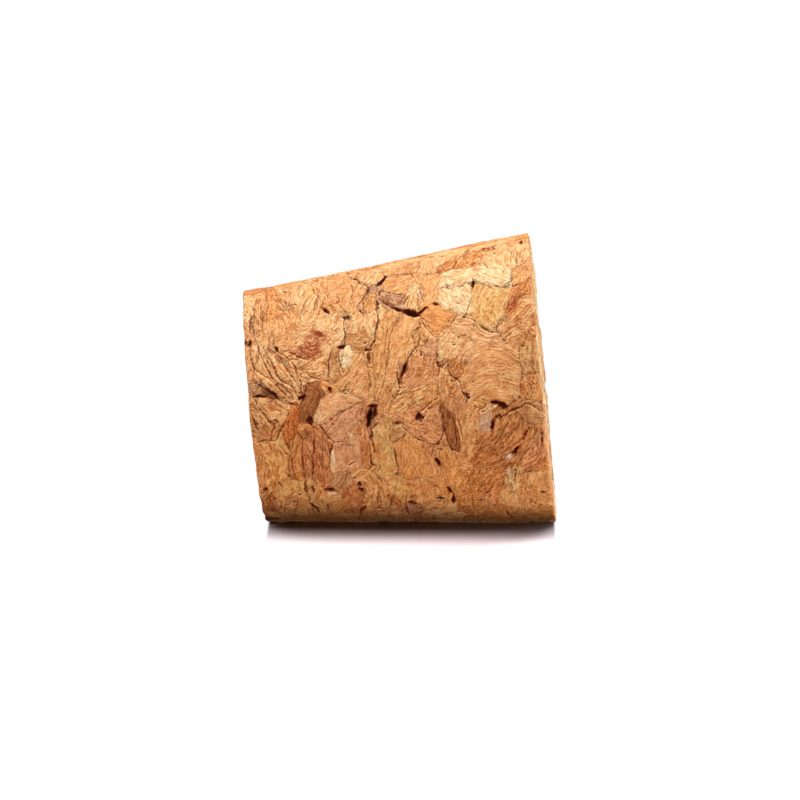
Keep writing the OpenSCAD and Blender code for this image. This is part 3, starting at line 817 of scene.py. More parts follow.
def profile():
    """Half of the ground section, from the centre of the small end to that of the large."""
    small_c = rim_centre_r(SMALL_R, SMALL_RIM_R, -1)
    large_c = rim_centre_r(LARGE_R, LARGE_RIM_R, 1)
    small_rim = rim(small_c, SMALL_RIM_R, SMALL_RIM_R, -math.pi / 2, -SIDE_ANGLE)
    large_rim = rim(large_c, LENGTH - LARGE_RIM_R, LARGE_RIM_R, -SIDE_ANGLE, math.pi / 2)
    start, stop = np.array(small_rim[-1][:2]), np.array(large_rim[0][:2])
    count = round((stop[1] - start[1]) / SIDE_STEP)
    side = [(*(start + (stop - start) * k / count), *SIDE_N, SIDE_STEP) for k in range(1, count)]
    return flat(small_c, 0.0, -1.0) + small_rim + side + large_rim + flat(large_c, LENGTH, 1.0)[::-1]


def lathe():
    """The ground form as rings of points joined by triangles: points, outward normals and triangles."""
    points, normals, triangles, before = [], [], [], None
    for k, (r, z, normal_r, normal_z, step) in enumerate(profile()):
        count = max(1, round(2 * math.pi * r / step))
        t = (np.arange(count) + 0.5 * (k % 2)) / count
        angle = 2 * math.pi * t - FRONT_BIAS * np.sin(2 * math.pi * t)
        ring = (len(points), t)
        points += list(zip(r * np.cos(angle), r * np.sin(angle), np.full(count, z)))
        normals += list(zip(normal_r * np.cos(angle), normal_r * np.sin(angle), np.full(count, normal_z)))
        if before:
            triangles += zip_rings(before, ring)
        before = ring
    return np.array(points), np.array(normals), np.array(triangles)


def zip_rings(low, high):
    """Triangles between two rings, each given by its first point and its points' shares of the turn."""
    (first_a, turns_a), (first_b, turns_b) = low, high
    count_a, count_b = len(turns_a), len(turns_b)
    triangles, i, j = [], 0, 0
    while i < count_a or j < count_b:
        next_a = turns_a[i + 1] if i + 1 < count_a else 1 + turns_a[(i + 1) % count_a] + (i >= count_a)
        next_b = turns_b[j + 1] if j + 1 < count_b else 1 + turns_b[(j + 1) % count_b] + (j >= count_b)
        a, b = first_a + i % count_a, first_b + j % count_b
        if i < count_a and (j >= count_b or next_a <= next_b):
            if count_a > 1:
                triangles.append((a, first_a + (i + 1) % count_a, b))
            i += 1
        else:
            if count_b > 1:
                triangles.append((a, first_b + (j + 1) % count_b, b))
            j += 1
    return triangles


def edges_of(triangles):
    """The distinct edges of triangles, and for each triangle the numbers of its edges ab, bc and ca."""
    sides = np.stack([triangles, np.roll(triangles, -1, 1)], 2).reshape(-1, 2)
    edges, number = np.unique(np.sort(sides, 1), axis=0, return_inverse=True)
    return edges, number.reshape(-1, 3)


def new_points(count, cut):
    """The numbers of the new points on the edges that are cut, after those already there (-1: none)."""
    return np.where(cut, count + np.cumsum(cut) - 1, -1)


def split(triangles, edge_numbers, new_point):
    """Cuts triangles at their edges' new points."""
    mids = new_point[edge_numbers]
    cuts = (mids >= 0).sum(1)
    parts = [triangles[cuts == 0]]
    for count in (1, 2, 3):
        rows = np.flatnonzero(cuts == count)
        lone = (mids[rows] >= 0) if count == 1 else (mids[rows] < 0)
        order = (np.arange(3) + lone.argmax(1)[:, None]) % 3
        a, b, c = np.take_along_axis(triangles[rows], order, 1).T
        ab, bc, ca = np.take_along_axis(mids[rows], order, 1).T
        if count == 1:
            new = [(a, ab, c), (ab, b, c)]
        elif count == 2:
            new = [(a, b, bc), (a, bc, ca), (bc, c, ca)]
        else:
            new = [(a, ab, ca), (b, bc, ab), (c, ca, bc), (ab, bc, ca)]
        parts += [np.stack(piece, 1) for piece in new]
    return np.concatenate(parts)


def refine(points, normals, triangles):
    """Halves the edges near small features."""
    inside, _ = void_fields(points)
    _, stain, _ = stain_fields(points)
    _, far, half, _, power, _ = mark_fields(points)
    worth = (points[:, 0] > 0) | (power > BACK_REFINE_POWER)
    marked = worth & (far - half < REFINE_REACH)
    close = (inside > -VOID_REFINE_REACH) | (stain > STAIN_REFINE_EDGE) | marked
    edges, numbers = edges_of(triangles)
    cut = close[edges].any(1)
    ends = edges[cut]
    triangles = split(triangles, numbers, new_points(len(points), cut))
    middle = normals[ends].sum(1)
    middle /= np.linalg.norm(middle, axis=1)[:, None]
    return np.vstack([points, points[ends].mean(1)]), np.vstack([normals, middle]), triangles


# how finely a seam is looked for on an edge, and how near to the edge's ends it may cut
SEAM_HALVINGS = 9
SEAM_SHARES = (0.08, 0.92)


def cut_at_seams(points, normals, triangles):
    """Cuts the triangles along the seams, so that each belongs to one granule.

    Gives the points and normals, the triangles and their granules, and for each point the two granules
    nearest to it, how far their seam is and whether three granules meet there.
    """
    looked_up = warped(points)
    first, second, gap = granules.nearest(looked_up)
    edges, numbers = edges_of(triangles)
    cut = first[edges[:, 0]] != first[edges[:, 1]]
    ends = edges[cut]
    first_a, first_b = first[ends].T
    # halve the stretch that holds the seam, again and again
    low, high = np.zeros(len(ends)), np.ones(len(ends))
    for _ in range(SEAM_HALVINGS):
        middle = (low + high) / 2
        at = looked_up[ends[:, 0]] * (1 - middle)[:, None] + looked_up[ends[:, 1]] * middle[:, None]
        still_a = granules.reach(at, first_a) < granules.reach(at, first_b)
        low, high = np.where(still_a, middle, low), np.where(still_a, high, middle)
    share = np.clip((low + high) / 2, *SEAM_SHARES)[:, None]
    seam_points = points[ends[:, 0]] * (1 - share) + points[ends[:, 1]] * share
    seam_normals = normals[ends[:, 0]] * (1 - share) + normals[ends[:, 1]] * share
    new_point = new_points(len(points), cut)
    # triangles that three granules share get a point in the middle
    meet = cut[numbers].all(1)
    corner = triangles[meet]
    mids = new_point[numbers[meet]]
    hub = len(points) + len(ends) + np.arange(len(corner))
    fan, fan_owner = [], []
    for k in range(3):
        a, ab, ca = corner[:, k], mids[:, k], mids[:, (k + 2) % 3]
        fan += [np.stack([a, ab, hub], 1), np.stack([a, hub, ca], 1)]
        fan_owner += [first[a]] * 2
    parts = split(triangles[~meet], numbers[~meet], new_point)
    owner = np.concatenate([first, np.full(len(ends), -1)])[parts].max(1)
    points = np.vstack([points, seam_points, points[corner].mean(1)])
    normals = np.vstack([normals, seam_normals, normals[corner].mean(1)])
    normals /= np.linalg.norm(normals, axis=1)[:, None]
    pair = np.concatenate([np.stack([first, second], 1), first[ends], first[corner[:, :2]]])
    gap = np.concatenate([gap, np.zeros(len(ends) + len(corner))])
    is_hub = np.arange(len(points)) >= len(points) - len(corner)
    triangles, owner = np.concatenate([parts] + fan), np.concatenate([owner] + fan_owner)
    return points, normals, triangles, owner, pair, gap, is_hub


def widen_top(points):
    """Widens the large end a little at the picture's top, where the blank wasn't ground quite round."""
    facing = np.maximum(-points[:, 1] / np.maximum(np.hypot(points[:, 0], points[:, 1]), 1e-6), 0) ** 2
    widening = 1 + TOP_WIDENING / LARGE_R * facing * smoothstep(WIDENING_FROM, LENGTH, points[:, 2])
    return points * np.stack([widening, widening, np.ones(len(points))], 1)


def bite_chips(points):
    """Moves the points inside a rim's chips out to the surface of the ball that bit them off."""
    for chips, end_r, z, way in ((SMALL_CHIPS, SMALL_R, 0.0, -1), (LARGE_CHIPS, LARGE_R, LENGTH, 1)):
        for angle, bite in chips:
            c, s = math.cos(math.radians(angle)), math.sin(math.radians(angle))
            out = np.array([c, s, way]) / math.sqrt(2)
            centre = np.array([end_r * c, end_r * s, z]) + (CHIP_R - bite) * out
            offset = points - centre
            distance = np.linalg.norm(offset, axis=1)
            reach = CHIP_R + CHIP_RAGGEDNESS * ragged(points)[:, 0]
            inside = (distance < reach) & (offset @ out < 0)
            points[inside] = (centre + offset * (reach / np.maximum(distance, 1e-6))[:, None])[inside]
    return points


def seam_strength(points, pair):
    """How dark and deep each seam is, by the two granules that meet there."""
    low, high = np.sort(pair, 1).T
    loss = FRONT_SEAM_LOSS * smoothstep(0, FRONT_SEAM_REACH, points[:, 0])
    return smoothstep(0.3, 1.0, hash01(low, high)) * (1 - loss)


def raised(points, pair, gap):
    """How far the skin stands out: granules at levels of their own, swells, fine grain and uneven rims."""
    level = (hash01(pair, 7) - 0.5) * 2 * RELIEF
    middle = level.mean(1)
    sag, sag_width = SEAM_SAG
    relief = middle + (level[:, 0] - middle) * smoothstep(0, SEAM_STEP, gap) - sag * hump(gap, sag_width)
    near_rim = hump(np.minimum(points[:, 2], LENGTH - points[:, 2]), RIM_REACH)
    uneven = near_rim * layered(points, RIM_NOISE, 10)[:, 0]
    return layered(points, SKIN_NOISE, 6)[:, 0] + uneven + relief


def sunk(points, gap, is_hub, strength, depth, far, half, cut):
    """How deep the skin is sunk in voids, seams and marks."""
    groove_depth, groove_width = SEAM_GROOVE
    groove = groove_depth * strength * hump(gap, groove_width) + HUB_PIT * is_hub * strength
    wall = half * smoothstep(half + MARK_WALL[0], np.maximum(half - MARK_WALL[1], 0), far)
    groove = np.maximum(groove, 2 * cut * wall) + np.minimum(cut, 0) * wall
    return np.maximum(depth * (1 + layered(points, VOID_FLOOR_NOISE, 9)[:, 0]), groove * (depth == 0))


def granule_tones():
    """The colour of each granule: those near tan are drawn to it, and each strays a little."""
    plain = linear("tan")
    pull = TONE_PULL * smoothstep(0.9, 0.3, np.abs(np.log(granules.tone[:, 1] / plain[1])))
    tone = granules.tone + (plain - granules.tone) * pull[:, None]
    stray = hash01(np.arange(len(tone)), 11)[:, None] - 0.5
    return tone * (1 + TONE_STRAY * stray) * TONE_GAIN


def grain_of(corners, owner):
    """Where a corner lies in its granule's own axes, bent a little and far from every other granule."""
    local = np.einsum("nij,nj->ni", granules.axes[owner], corners - granules.place[owner])
    local[:, 1] += (hash01(owner, 13) - 0.5) * GRAIN_BEND * local[:, 0] ** 2
    return local + GRAIN_SPREAD * np.stack([hash01(owner, key) for key in (17, 19, 23)], 1)


def mesh_of(points, triangles):
    """A smooth mesh of the points and triangles."""
    data = bpy.data.meshes.new("cork")
    data.vertices.add(len(points))
    data.vertices.foreach_set("co", (points * MM).ravel())
    data.loops.add(3 * len(triangles))
    data.loops.foreach_set("vertex_index", triangles.ravel())
    data.polygons.add(len(triangles))
    data.polygons.foreach_set("loop_start", np.arange(0, 3 * len(triangles), 3))
    data.polygons.foreach_set("use_smooth", np.ones(len(triangles), bool))
    data.update(calc_edges=True)
    return data


def opaque(colour):
    return np.column_stack([colour, np.ones(len(colour))])


def store(data, domain, fields):
    """Keeps fields on the mesh: plain numbers, places of three numbers or colours of four."""
    kinds = {1: ("FLOAT", "value"), 3: ("FLOAT_VECTOR", "vector"), 4: ("FLOAT_COLOR", "color")}
    for name, values in fields.items():
        kind, key = kinds[values.shape[1] if values.ndim > 1 else 1]
        layer = data.attributes.new(name, kind, domain)
        layer.data.foreach_set(key, np.ascontiguousarray(values, dtype=np.float32).ravel())


def cork_mesh():
    """The stopper's skin, with all that its material has to know."""
    points, normals, triangles, owner, pair, gap, is_hub = cut_at_seams(*refine(*lathe()))
    print("cork:", len(granules.half), "granules,", len(points), "points,", len(triangles), "triangles")
    inside, depth = void_fields(points)
    stain, stain_edge, stain_power = stain_fields(points)
    signed, far, half, mark_tone, mark_power, cut = mark_fields(points)
    strength = seam_strength(points, pair)
    shift = raised(points, pair, gap) - sunk(points, gap, is_hub, strength, depth, far, half, cut)
    data = mesh_of(widen_top(bite_chips(points + normals * shift[:, None])), triangles)

    store(data, "FACE", {
        "tone": opaque(granule_tones()[owner]), "layers": granules.layers[owner], "chance": hash01(owner, 5),
    })
    store(data, "CORNER", {"grain": grain_of(points[triangles].reshape(-1, 3), np.repeat(owner, 3))})
    store(data, "POINT", {
        "seam": gap, "seam_power": strength, "void": inside, "void_depth": depth,
        "stain": opaque(stain), "stain_edge": stain_edge, "stain_power": stain_power,
        "mark_signed": signed, "mark_far": far, "mark_half": half, "mark_power": mark_power,
        # the colour that painted shade leaves close to a mark that cuts in, and white elsewhere
        "mark_tone": opaque(mark_tone), "mark_painted_shade": opaque(np.where(cut[:, None] > 0, PAINTED_HOLLOW_SHADE, 1.0)),
    })
    data.set_sharp_from_angle(angle=math.radians(SHARP_ANGLE))
    return data


# ---- the material
class Nodes:
    """Short calls for the nodes of a material or a world. A ramp goes from low to high between two values."""

    def __init__(self, owner):
        owner.use_nodes = True
        self.tree = owner.node_tree
        self.tree.nodes.clear()

    def node(self, kind, inputs, **settings):
        node = self.tree.nodes.new("ShaderNode" + kind)
        for key, value in settings.items():
            setattr(node, key, value)
        for key, value in inputs.items():
            if isinstance(value, bpy.types.NodeSocket):
                self.tree.links.new(value, node.inputs[key])
            else:
                node.inputs[key].default_value = value
        return node

    def calc(self, operation, a, b=0.0):
        return self.node("Math", {0: a, 1: b}, operation=operation).outputs[0]

    def times(self, value, *factors):
        for factor in factors:
            value = self.calc("MULTIPLY", value, factor)
        return value

    def plus(self, a, b):
        return self.calc("ADD", a, b)

    def minus(self, a, b):
        return self.calc("SUBTRACT", a, b)

    def swing(self, noise, reach):
        """Noise from 0 to 1 as a swing about 0."""
        return self.times(self.minus(noise, 0.5), reach)

    def vector(self, operation, a, b):
        return self.node("VectorMath", {0: a, 1: b}, operation=operation).outputs[0]

    def stretch(self, vector, factors):
        return self.vector("MULTIPLY", vector, factors)

    def parts(self, vector):
        return self.node("SeparateXYZ", {0: vector}).outputs

    def millimetres(self):
        """Where a spot is on its object."""
        return self.stretch(self.node("TexCoord", {}).outputs["Object"], (1 / MM, 1 / MM, 1 / MM))

    def field(self, name, output="Fac"):
        """What the mesh keeps under a name: a number, a Vector or a Color."""
        return self.node("Attribute", {}, attribute_name=name).outputs[output]

    def noise(self, vector, size, detail=2.0, roughness=0.5):
        inputs = {"Vector": vector, "Scale": 1 / size, "Detail": detail, "Roughness": roughness}
        return self.node("TexNoise", inputs).outputs[0]

    def wandering(self, vector, size, reach):
        """The vector moved about by noise."""
        noise = self.node("TexNoise", {"Vector": vector, "Scale": 1 / size, "Detail": 1.0}).outputs[1]
        middle = self.vector("SUBTRACT", noise, (0.5, 0.5, 0.5))
        return self.vector("ADD", vector, self.stretch(middle, (reach, reach, reach)))

    def ramp(self, value, start, end, low=0.0, high=1.0):
        inputs = {0: value, 1: start, 2: end, 3: low, 4: high}
        return self.node("MapRange", inputs, interpolation_type="SMOOTHSTEP").outputs[0]

    def blend(self, amount, a, b, mode="MIX"):
        return self.node("Mix", {0: amount, 6: a, 7: b}, data_type="RGBA", blend_type=mode).outputs[2]


class Cork(Nodes):
    """The cork's material: each method lays something more over the colour so far, and notes its grooves."""

    def __init__(self, owner):
        super().__init__(owner)
        self.colour = tone = self.field("tone", "Color")
        self.grooves = []
        self.grain = self.wandering(self.field("grain", "Vector"), 1.4, 0.5)
        self.place = self.millimetres()
        self.tiny = self.noise(self.place, 0.15, 1.5, 0.5)
        self.small = self.noise(self.place, 0.26, 3.0, 0.6)
        self.broad = self.noise(self.place, 1.1, 2.0)
        self.broken = self.noise(self.place, 0.55, 2.0)
        self.clouds = self.noise(self.grain, 0.7, 4.0, 0.6)
        self.fibres = self.noise(self.stretch(self.grain, (0.25, 1.0, 1.0)), 0.2, 2.0, 0.6)
        self.rough = self.plus(self.swing(self.small, 0.36), self.swing(self.tiny, 0.16))
        # shades of a granule's own tone
        self.deep = self.stretch(tone, (0.68, 0.42, 0.22))
        self.dark = self.stretch(tone, (0.34, 0.09, 0.02))
        self.light = self.vector("MINIMUM", self.stretch(tone, (1.34, 1.62, 2.1)), (0.97, 0.86, 0.74))
        # the skin is smooth inside a granule and crumbled near its seams and marks
        seam = self.times(self.ramp(self.field("seam"), 0.45, 0.05),
                          self.ramp(self.field("seam_power"), 0.0, 0.9, 0.3, 1.0))
        mark = self.times(self.ramp(self.minus(self.field("mark_far"), self.field("mark_half")), 0.5, 0.05),
                          self.field("mark_power"))
        patches = self.ramp(self.broad, 0.38, 0.60, 0.3, 1.0)
        self.crumbled = self.times(self.calc("MAXIMUM", seam, mark), patches)
        layers = self.ramp(self.field("layers"), 0.1, 0.9, 0.25, 0.9)
        self.texture = self.calc("MAXIMUM", layers, self.crumbled)

    def tint(self, amount, colour, mode="MIX"):
        self.colour = self.blend(amount, self.colour, colour, mode)

    def mottle(self, noise, low, high, deepening, lightening):
        """Deepens where the noise is low and lightens where it is high."""
        self.tint(self.times(self.ramp(noise, *low), deepening), self.deep)
        self.tint(self.times(self.ramp(noise, *high), lightening), self.light)

    def add_clouds(self):
        """Clouds inside a granule, darker and redder or lighter."""
        deepening = self.ramp(self.texture, 0, 1, 0.2, 0.7)
        lightening = self.ramp(self.texture, 0, 1, 0.3, 0.7)
        self.mottle(self.clouds, (0.49, 0.34), (0.51, 0.66), deepening, lightening)

    def add_growth_layers(self):
        """Soft bands and thin lines along the granule."""
        bands = self.noise(self.stretch(self.grain, (0.16, 1.0, 0.5)), 0.36, 2.0)
        power = self.ramp(self.field("layers"), 0.1, 0.9, 0.1, 0.7)
        self.mottle(bands, (0.52, 0.36), (0.56, 0.72), power, power)
        wide = self.times(self.texture, self.ramp(self.clouds, 0.56, 0.44))
        wide = self.add_lines((0.14, 1.0, 0.6), 0.46, wide)
        narrow = self.times(self.texture, self.ramp(self.broad, 0.46, 0.60), 0.8)
        narrow = self.add_lines((0.25, 1.0, 0.7), 0.26, narrow)
        self.grooves.append((self.calc("MAXIMUM", wide, narrow), 0.6))

    def add_lines(self, stretch, size, power):
        """Dark lines with soft edges and pale ones beside them, the pale ones a painted highlight; gives the
        dark ones.
        """
        streak = self.noise(self.stretch(self.grain, stretch), size, 3.0)
        # painted highlight: a pale line beside each dark one
        pale = self.ramp(self.calc("ABSOLUTE", self.minus(streak, 0.58)), 0.040, 0.010)
        self.tint(self.times(pale, power), self.light)
        off_line = self.calc("ABSOLUTE", self.minus(streak, 0.5))
        self.tint(self.times(self.ramp(off_line, 0.10, 0.02, 0.0, 0.6), power), self.deep)
        dark = self.times(self.ramp(off_line, 0.026, 0.006), power)
        self.tint(dark, self.dark)
        return dark

    def add_grit(self):
        """Fibres, fine grit, dark pores and pale flecks; the flecks are painted glints."""
        fine = self.ramp(self.texture, 0.0, 1.0, 0.35, 0.9)
        self.mottle(self.fibres, (0.48, 0.40), (0.53, 0.62), fine, fine)
        grit = self.times(fine, self.ramp(self.plus(self.field("chance"), self.broad), 0.8, 1.3, 0.25, 0.8))
        self.mottle(self.tiny, (0.46, 0.40), (0.54, 0.60), grit, grit)
        pore = self.specks(0.24, (0.40, 0.16), 0, 0.2, (0.88, 0.94))
        self.tint(self.times(pore, 0.8), self.dark)
        self.grooves.append((pore, 0.4))
        # painted highlight: pale flecks as glints, more of them where the cork is crumbled
        painted_glint = self.specks(0.22, (0.42, 0.22), 1, 0.28, (0.98, 1.04))
        self.tint(self.times(painted_glint, 0.9), self.light)

    def specks(self, size, edge, channel, crumbling, rarity):
        """Round specks in a few cells of a size, and in more of them where the cork is crumbled."""
        cells = self.node("TexVoronoi", {"Vector": self.place, "Scale": 1 / size}, feature="F1").outputs
        luck = self.plus(self.parts(cells[1])[channel], self.times(self.crumbled, crumbling))
        return self.times(self.ramp(cells[0], *edge), self.ramp(luck, *rarity))

    def add_seams(self):
        """A broken dark line between granules, with painted shade darkening towards it and a painted
        highlight on a paler edge beside it.
        """
        wavy = self.plus(self.field("seam"), self.rough)
        power = self.times(self.ramp(self.broken, 0.40, 0.60, 0.15, 1.0),
                           self.ramp(self.field("seam_power"), 0.0, 0.9, 0.1, 1.0))
        # painted shade: darker and redder towards the seam
        self.tint(self.times(self.ramp(wavy, 0.30, 0.02, 0.0, 0.5), power), self.deep)
        # painted highlight: a paler edge a little off the seam
        painted_lip = self.times(self.ramp(wavy, 0.07, 0.13), self.ramp(wavy, 0.28, 0.16))
        self.tint(self.times(painted_lip, power, 0.5), self.light)
        crack = self.times(self.ramp(wavy, 0.07, 0.01), power)
        self.tint(crack, self.dark)
        brink = self.times(self.ramp(wavy, 0.24, 0.0), power)
        self.grooves += [(crack, 0.2), (brink, 0.6)]

    def add_marks(self):
        """The marks, with painted shade close to them and a painted highlight beside: the plain distance
        closes their ends and keeps two neighbours apart.
        """
        power = self.field("mark_power")
        bent = self.plus(self.field("mark_signed"), self.swing(self.tiny, 0.09))
        beside = self.calc("MAXIMUM", self.calc("ABSOLUTE", bent), self.minus(self.field("mark_far"), 0.07))
        half = self.times(self.field("mark_half"), self.ramp(self.small, 0.34, 0.66, 0.5, 1.35))
        beside = self.minus(beside, half)
        beads = self.times(self.ramp(self.broken, 0.30, 0.50, 0.7, 1.0),
                           self.ramp(self.small, 0.36, 0.52, 0.5, 1.0))
        edge = self.times(self.ramp(beside, 0.20, 0.0), power, 0.5)
        # painted highlight on a paler edge beside the mark
        painted_lip = self.times(self.ramp(beside, 0.015, 0.05), self.ramp(beside, 0.16, 0.08),
                         self.ramp(self.small, 0.62, 0.44, 0.1, 0.8), power)
        # painted shade close to a mark that cuts in
        shade_near_mark = self.times(self.ramp(beside, 0.07, -0.01, 0.0, 0.8), power, beads)
        self.tint(shade_near_mark, self.field("mark_painted_shade", "Color"), "MULTIPLY")
        self.tint(painted_lip, self.light)
        mark = self.times(self.ramp(beside, 0.025, -0.035), power, beads)
        self.tint(mark, self.field("mark_tone", "Color"))
        self.grooves += [(edge, 0.9), (mark, 0.2)]

    def add_stains(self):
        """Stains with frayed edges, darker along some of the fibres."""
        stain = self.ramp(self.plus(self.field("stain_edge"), self.swing(self.small, 4.0)), -0.5, 0.4)
        stain = self.times(stain, self.field("stain_power"), self.ramp(self.small, 0.60, 0.44, 0.35, 1.0))
        darker = self.ramp(self.fibres, 0.56, 0.42, 0.0, 0.7)
        self.tint(stain, self.blend(darker, self.field("stain", "Color"), self.dark))

    def add_voids(self):
        """Voids with painted shade round them, a dark red wall, and painted shade that darkens it to black
        where the void is deep.
        """
        mouth = self.plus(self.field("void"), self.times(self.rough, 0.8))
        # painted shade round the mouth of a void
        self.tint(self.ramp(mouth, -0.16, -0.02, 0.0, 0.8), (*PAINTED_HOLLOW_SHADE, 1), "MULTIPLY")
        # painted shade: the wall darkens to black with the void's depth
        painted_deep_shade = self.ramp(self.plus(mouth, self.swing(self.fibres, 0.4)), 0.02, 0.16)
        painted_deep_shade = self.times(painted_deep_shade, self.ramp(self.field("void_depth"), 0.25, 0.6))
        wall = self.blend(painted_deep_shade, (*linear("wine") * 0.9, 1), (*linear("char") * 0.6, 1))
        self.tint(self.times(self.ramp(mouth, -0.05, 0.03), 0.95), wall)

    def shade(self):
        """Sinks the grooves in the bump and makes the surface of it and the colour."""
        height = self.plus(self.times(self.fibres, 1.1), self.times(self.small, 0.8))
        height = self.plus(height, self.times(self.tiny, 0.8))
        for groove, share in self.grooves:
            height = self.minus(height, self.times(groove, share))
        bump = self.node("Bump", {"Height": height, "Distance": 0.2 * MM, "Strength": 1.0}).outputs[0]
        inputs = {"Base Color": self.colour, "Roughness": 0.72, "Specular IOR Level": 0.2, "Normal": bump}
        self.node("OutputMaterial", {"Surface": self.node("BsdfPrincipled", inputs).outputs[0]})


def cork_material():
    material = bpy.data.materials.new("cork")
    skin = Cork(material)
    skin.add_clouds()
    skin.add_growth_layers()
    skin.add_grit()
    skin.add_seams()
    skin.add_marks()
    skin.add_stains()
    skin.add_voids()
    skin.shade()
    return material


# ---- objects and camera
scene = bpy.context.scene


def placed(axes, place):
    """An object's matrix from its axes and its place in millimetres."""
    matrix = Matrix([list(axis) for axis in axes]).transposed().to_4x4()
    matrix.translation = [x * MM for x in place]
    return matrix


def add_object(name, data, matrix=Matrix()):
    thing = bpy.data.objects.new(name, data)
    thing.matrix_world = matrix
    scene.collection.objects.link(thing)
    return thing


cork = add_object("cork", cork_mesh())
cork.data.materials.append(cork_material())
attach(cork, "root")
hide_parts("stopper")

# In the picture the stopper lies on its side: the axis runs to the right, and +X faces the camera. The
# camera stands a little towards the large end, and is rolled so that the side on the floor lies level.
CAMERA_DISTANCE = 700.0
CAMERA_LEAN = math.radians(2.05)
CAMERA_ROLL = math.radians(5.48)
CAMERA_SHIFT = (0.104, -0.65)
FOCAL_LENGTH = 363.9
SENSOR = 36.0
CLIP_START = 10.0

target = np.array([0.0, 0.0, LENGTH / 2])
backward = np.array([math.cos(CAMERA_LEAN), 0.0, math.sin(CAMERA_LEAN)])
level_right = np.array([-math.sin(CAMERA_LEAN), 0.0, math.cos(CAMERA_LEAN)])
level_up = np.cross(backward, level_right)
right = level_right * math.cos(CAMERA_ROLL) - level_up * math.sin(CAMERA_ROLL)
up = level_right * math.sin(CAMERA_ROLL) + level_up * math.cos(CAMERA_ROLL)
eye = target + CAMERA_DISTANCE * backward + CAMERA_SHIFT[0] * right + CAMERA_SHIFT[1] * up

lens = bpy.data.cameras.new("camera")
lens.lens = FOCAL_LENGTH
lens.sensor_width = SENSOR
lens.clip_start = CLIP_START * MM
scene.camera = add_object("camera", lens, placed((right, up, backward), eye))

# ---- floor
# The floor touches the stopper's side along a line just below what the camera sees of it.
FLOOR_ANGLE = 102.0
FLOOR_DROP = 0.03
FLOOR_FRONT = 90.0
FLOOR_BACK = 60.0
FLOOR_SIDE = 70.0
# the shadow: how far it reaches, how much sooner it ends beside the stopper, and how far in that starts
SHADOW_REACH = (12.0, 28.0)
SHADOW_NARROWING = 60.0
SHADOW_INSET = 0.45
# the painted shade under the stopper: the floor's colour darkens towards the line of contact, and opens away
# from it
PAINTED_SHADE_REACH = (0.5, 11.0)
PAINTED_CONTACT_SHADE = (0.20, 0.13, 0.12, 1)
PAINTED_SHADE_FAR = (1.0, 0.92, 0.93, 1)

contact, (along, _, down) = on_side(FLOOR_ANGLE, LENGTH / 2, depth=-FLOOR_DROP)
forward = np.cross(down, along)
forward *= np.sign(forward[0])


def floor_material():
    """Pale and matt near the stopper but for painted shade towards the line of contact, plain white to the
    camera further out, and clear from behind.
    """
    material = bpy.data.materials.new("floor")
    m = Nodes(material)
    x, y, _ = m.parts(m.millimetres())
    beyond = m.calc("MAXIMUM", m.minus(m.calc("ABSOLUTE", x), LENGTH / 2 - SHADOW_INSET), 0.0)
    beyond = m.times(beyond, SHADOW_NARROWING)
    away = m.calc("SQRT", m.plus(m.calc("POWER", beyond, 2.0), m.calc("POWER", y, 2.0)))
    # painted shade: the floor's colour darkens towards the line of contact
    shade = m.blend(m.ramp(m.calc("ABSOLUTE", y), *PAINTED_SHADE_REACH), PAINTED_CONTACT_SHADE, PAINTED_SHADE_FAR)
    matt = m.node("BsdfDiffuse", {"Color": shade}).outputs[0]
    white = m.node("Emission", {"Color": (1, 1, 1, 1)}).outputs[0]
    front = m.node("MixShader", {0: m.ramp(away, *SHADOW_REACH), 1: matt, 2: white}).outputs[0]
    clear = m.node("BsdfTransparent", {}).outputs[0]
    behind = m.node("NewGeometry", {}).outputs["Backfacing"]
    m.node("OutputMaterial", {"Surface": m.node("MixShader", {0: behind, 1: front, 2: clear}).outputs[0]})
    return material


sheet = bpy.data.meshes.new("floor")
corners = ((-1, -FLOOR_BACK), (1, -FLOOR_BACK), (1, FLOOR_FRONT), (-1, FLOOR_FRONT))
sheet.from_pydata([(side * FLOOR_SIDE * MM, y * MM, 0.0) for side, y in corners], [], [(0, 1, 2, 3)])
# its front looks at the stopper
if np.cross(along, forward) @ down > 0:
    sheet.flip_normals()
sheet.materials.append(floor_material())
floor = add_object("floor", sheet, placed((along, forward, np.cross(along, forward)), contact))
for sight in ("shadow", "diffuse", "glossy", "transmission"):
    setattr(floor, "visible_" + sight, False)


# ---- light
LAMP_DISTANCE = 400.0
OVERHEAD = 0.95
PLAIN = (1.0, 1.0, 1.0)
COOL = (1.0, 1.03, 1.07)
WARM = (1.0, 0.84, 0.69)
BLUISH = (1.0, 1.07, 1.22)


def area_light(name, axes, place, size, energy, tint):
    """A rectangle of light that the camera doesn't see."""
    data = bpy.data.lights.new(name, "AREA")
    data.shape = "RECTANGLE"
    data.size, data.size_y = size[0] * MM, size[1] * MM
    data.energy = energy
    data.color = tint
    light = add_object(name, data, placed(axes, place))
    light.visible_camera = False
    return light


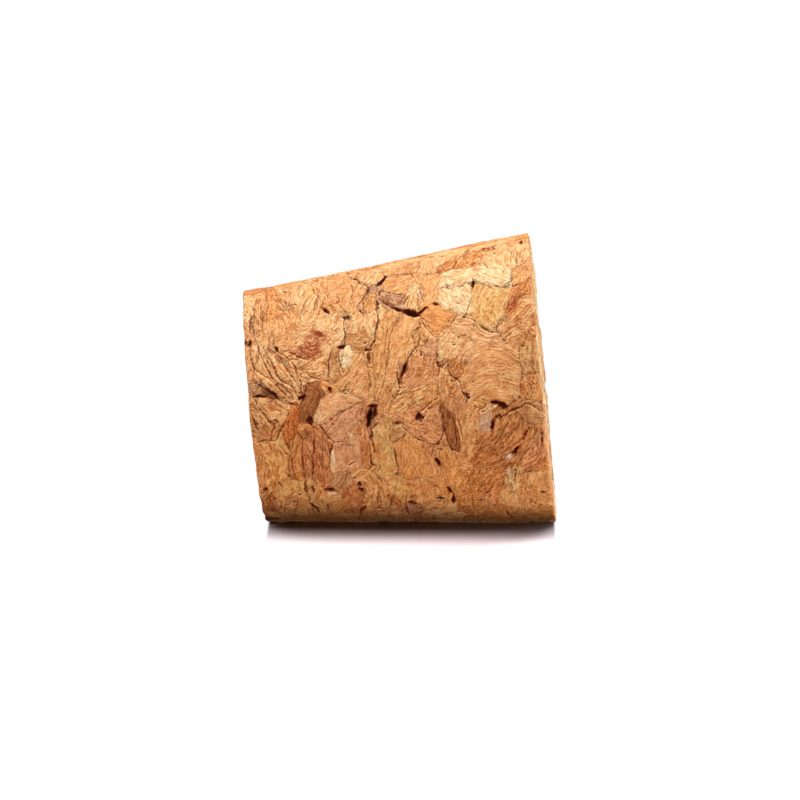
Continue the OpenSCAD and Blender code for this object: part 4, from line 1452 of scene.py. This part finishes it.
def lamp(name, angle, lean, size, level, tint=PLAIN):
    """A soft lamp that points at the stopper: level 1 shows a facing matt colour as it is written."""
    a, e = math.radians(angle), math.radians(lean)
    out = np.array([math.cos(a) * math.cos(e), math.sin(a) * math.cos(e), math.sin(e)])
    side = np.cross((0.0, 0.0, 1.0) if abs(out[2]) < OVERHEAD else (1.0, 0.0, 0.0), out)
    side /= np.linalg.norm(side)
    energy = math.pi ** 2 * (LAMP_DISTANCE * MM) ** 2 * level
    place = target + LAMP_DISTANCE * out
    return area_light(name, (side, np.cross(out, side), out), place, (size, size), energy, tint)


# angle round the axis (-90 is the top of the picture), lean towards the large end, size, level, tint
lamp("key", -50, 8, 420, 1.18, COOL)
lamp("top of the large end", -110, 50, 300, 0.85, COOL)
lamp("top of the small end", -70, -40, 300, 0.66, COOL)
lamp("front", 10, 0, 260, 0.12, WARM)
lamp("large end", 0, 88, 90, 0.5, BLUISH)
# the two behind the floor light only what is matt, so that the foot has no grazing highlight
lamp("back", 215, 0, 200, 0.6).visible_glossy = False
lamp("below", 166, 0, 160, 0.5).visible_glossy = False

# the floor's bounce: a sheet of light on it, from just in front of the stopper's own shadow
BOUNCE_FROM, BOUNCE_TO, BOUNCE_WIDTH = 9.0, 36.0, 80.0
BOUNCE_LEVEL = 1.2
BOUNCE_LIFT = 0.2

bounce_size = (BOUNCE_WIDTH, BOUNCE_TO - BOUNCE_FROM)
bounce_energy = math.pi * bounce_size[0] * bounce_size[1] * MM ** 2 * BOUNCE_LEVEL
bounce_place = contact + (BOUNCE_FROM + BOUNCE_TO) / 2 * forward - BOUNCE_LIFT * down
area_light("bounce", (np.cross(forward, down), forward, down), bounce_place, bounce_size, bounce_energy, WARM)

# the surroundings are white to the camera and nearly dark to the cork
AMBIENT = 0.02

world = bpy.data.worlds.new("world")
scene.world = world
around = Nodes(world)
rays = around.node("LightPath", {}).outputs
seen = around.calc("MAXIMUM", rays["Is Camera Ray"], rays["Is Transmission Ray"])
strength = around.ramp(seen, 0.0, 1.0, AMBIENT, 1.0)
white = around.node("Background", {0: (1, 1, 1, 1), 1: strength}).outputs[0]
around.node("OutputWorld", {0: white})

scene.view_settings.view_transform = "Standard"
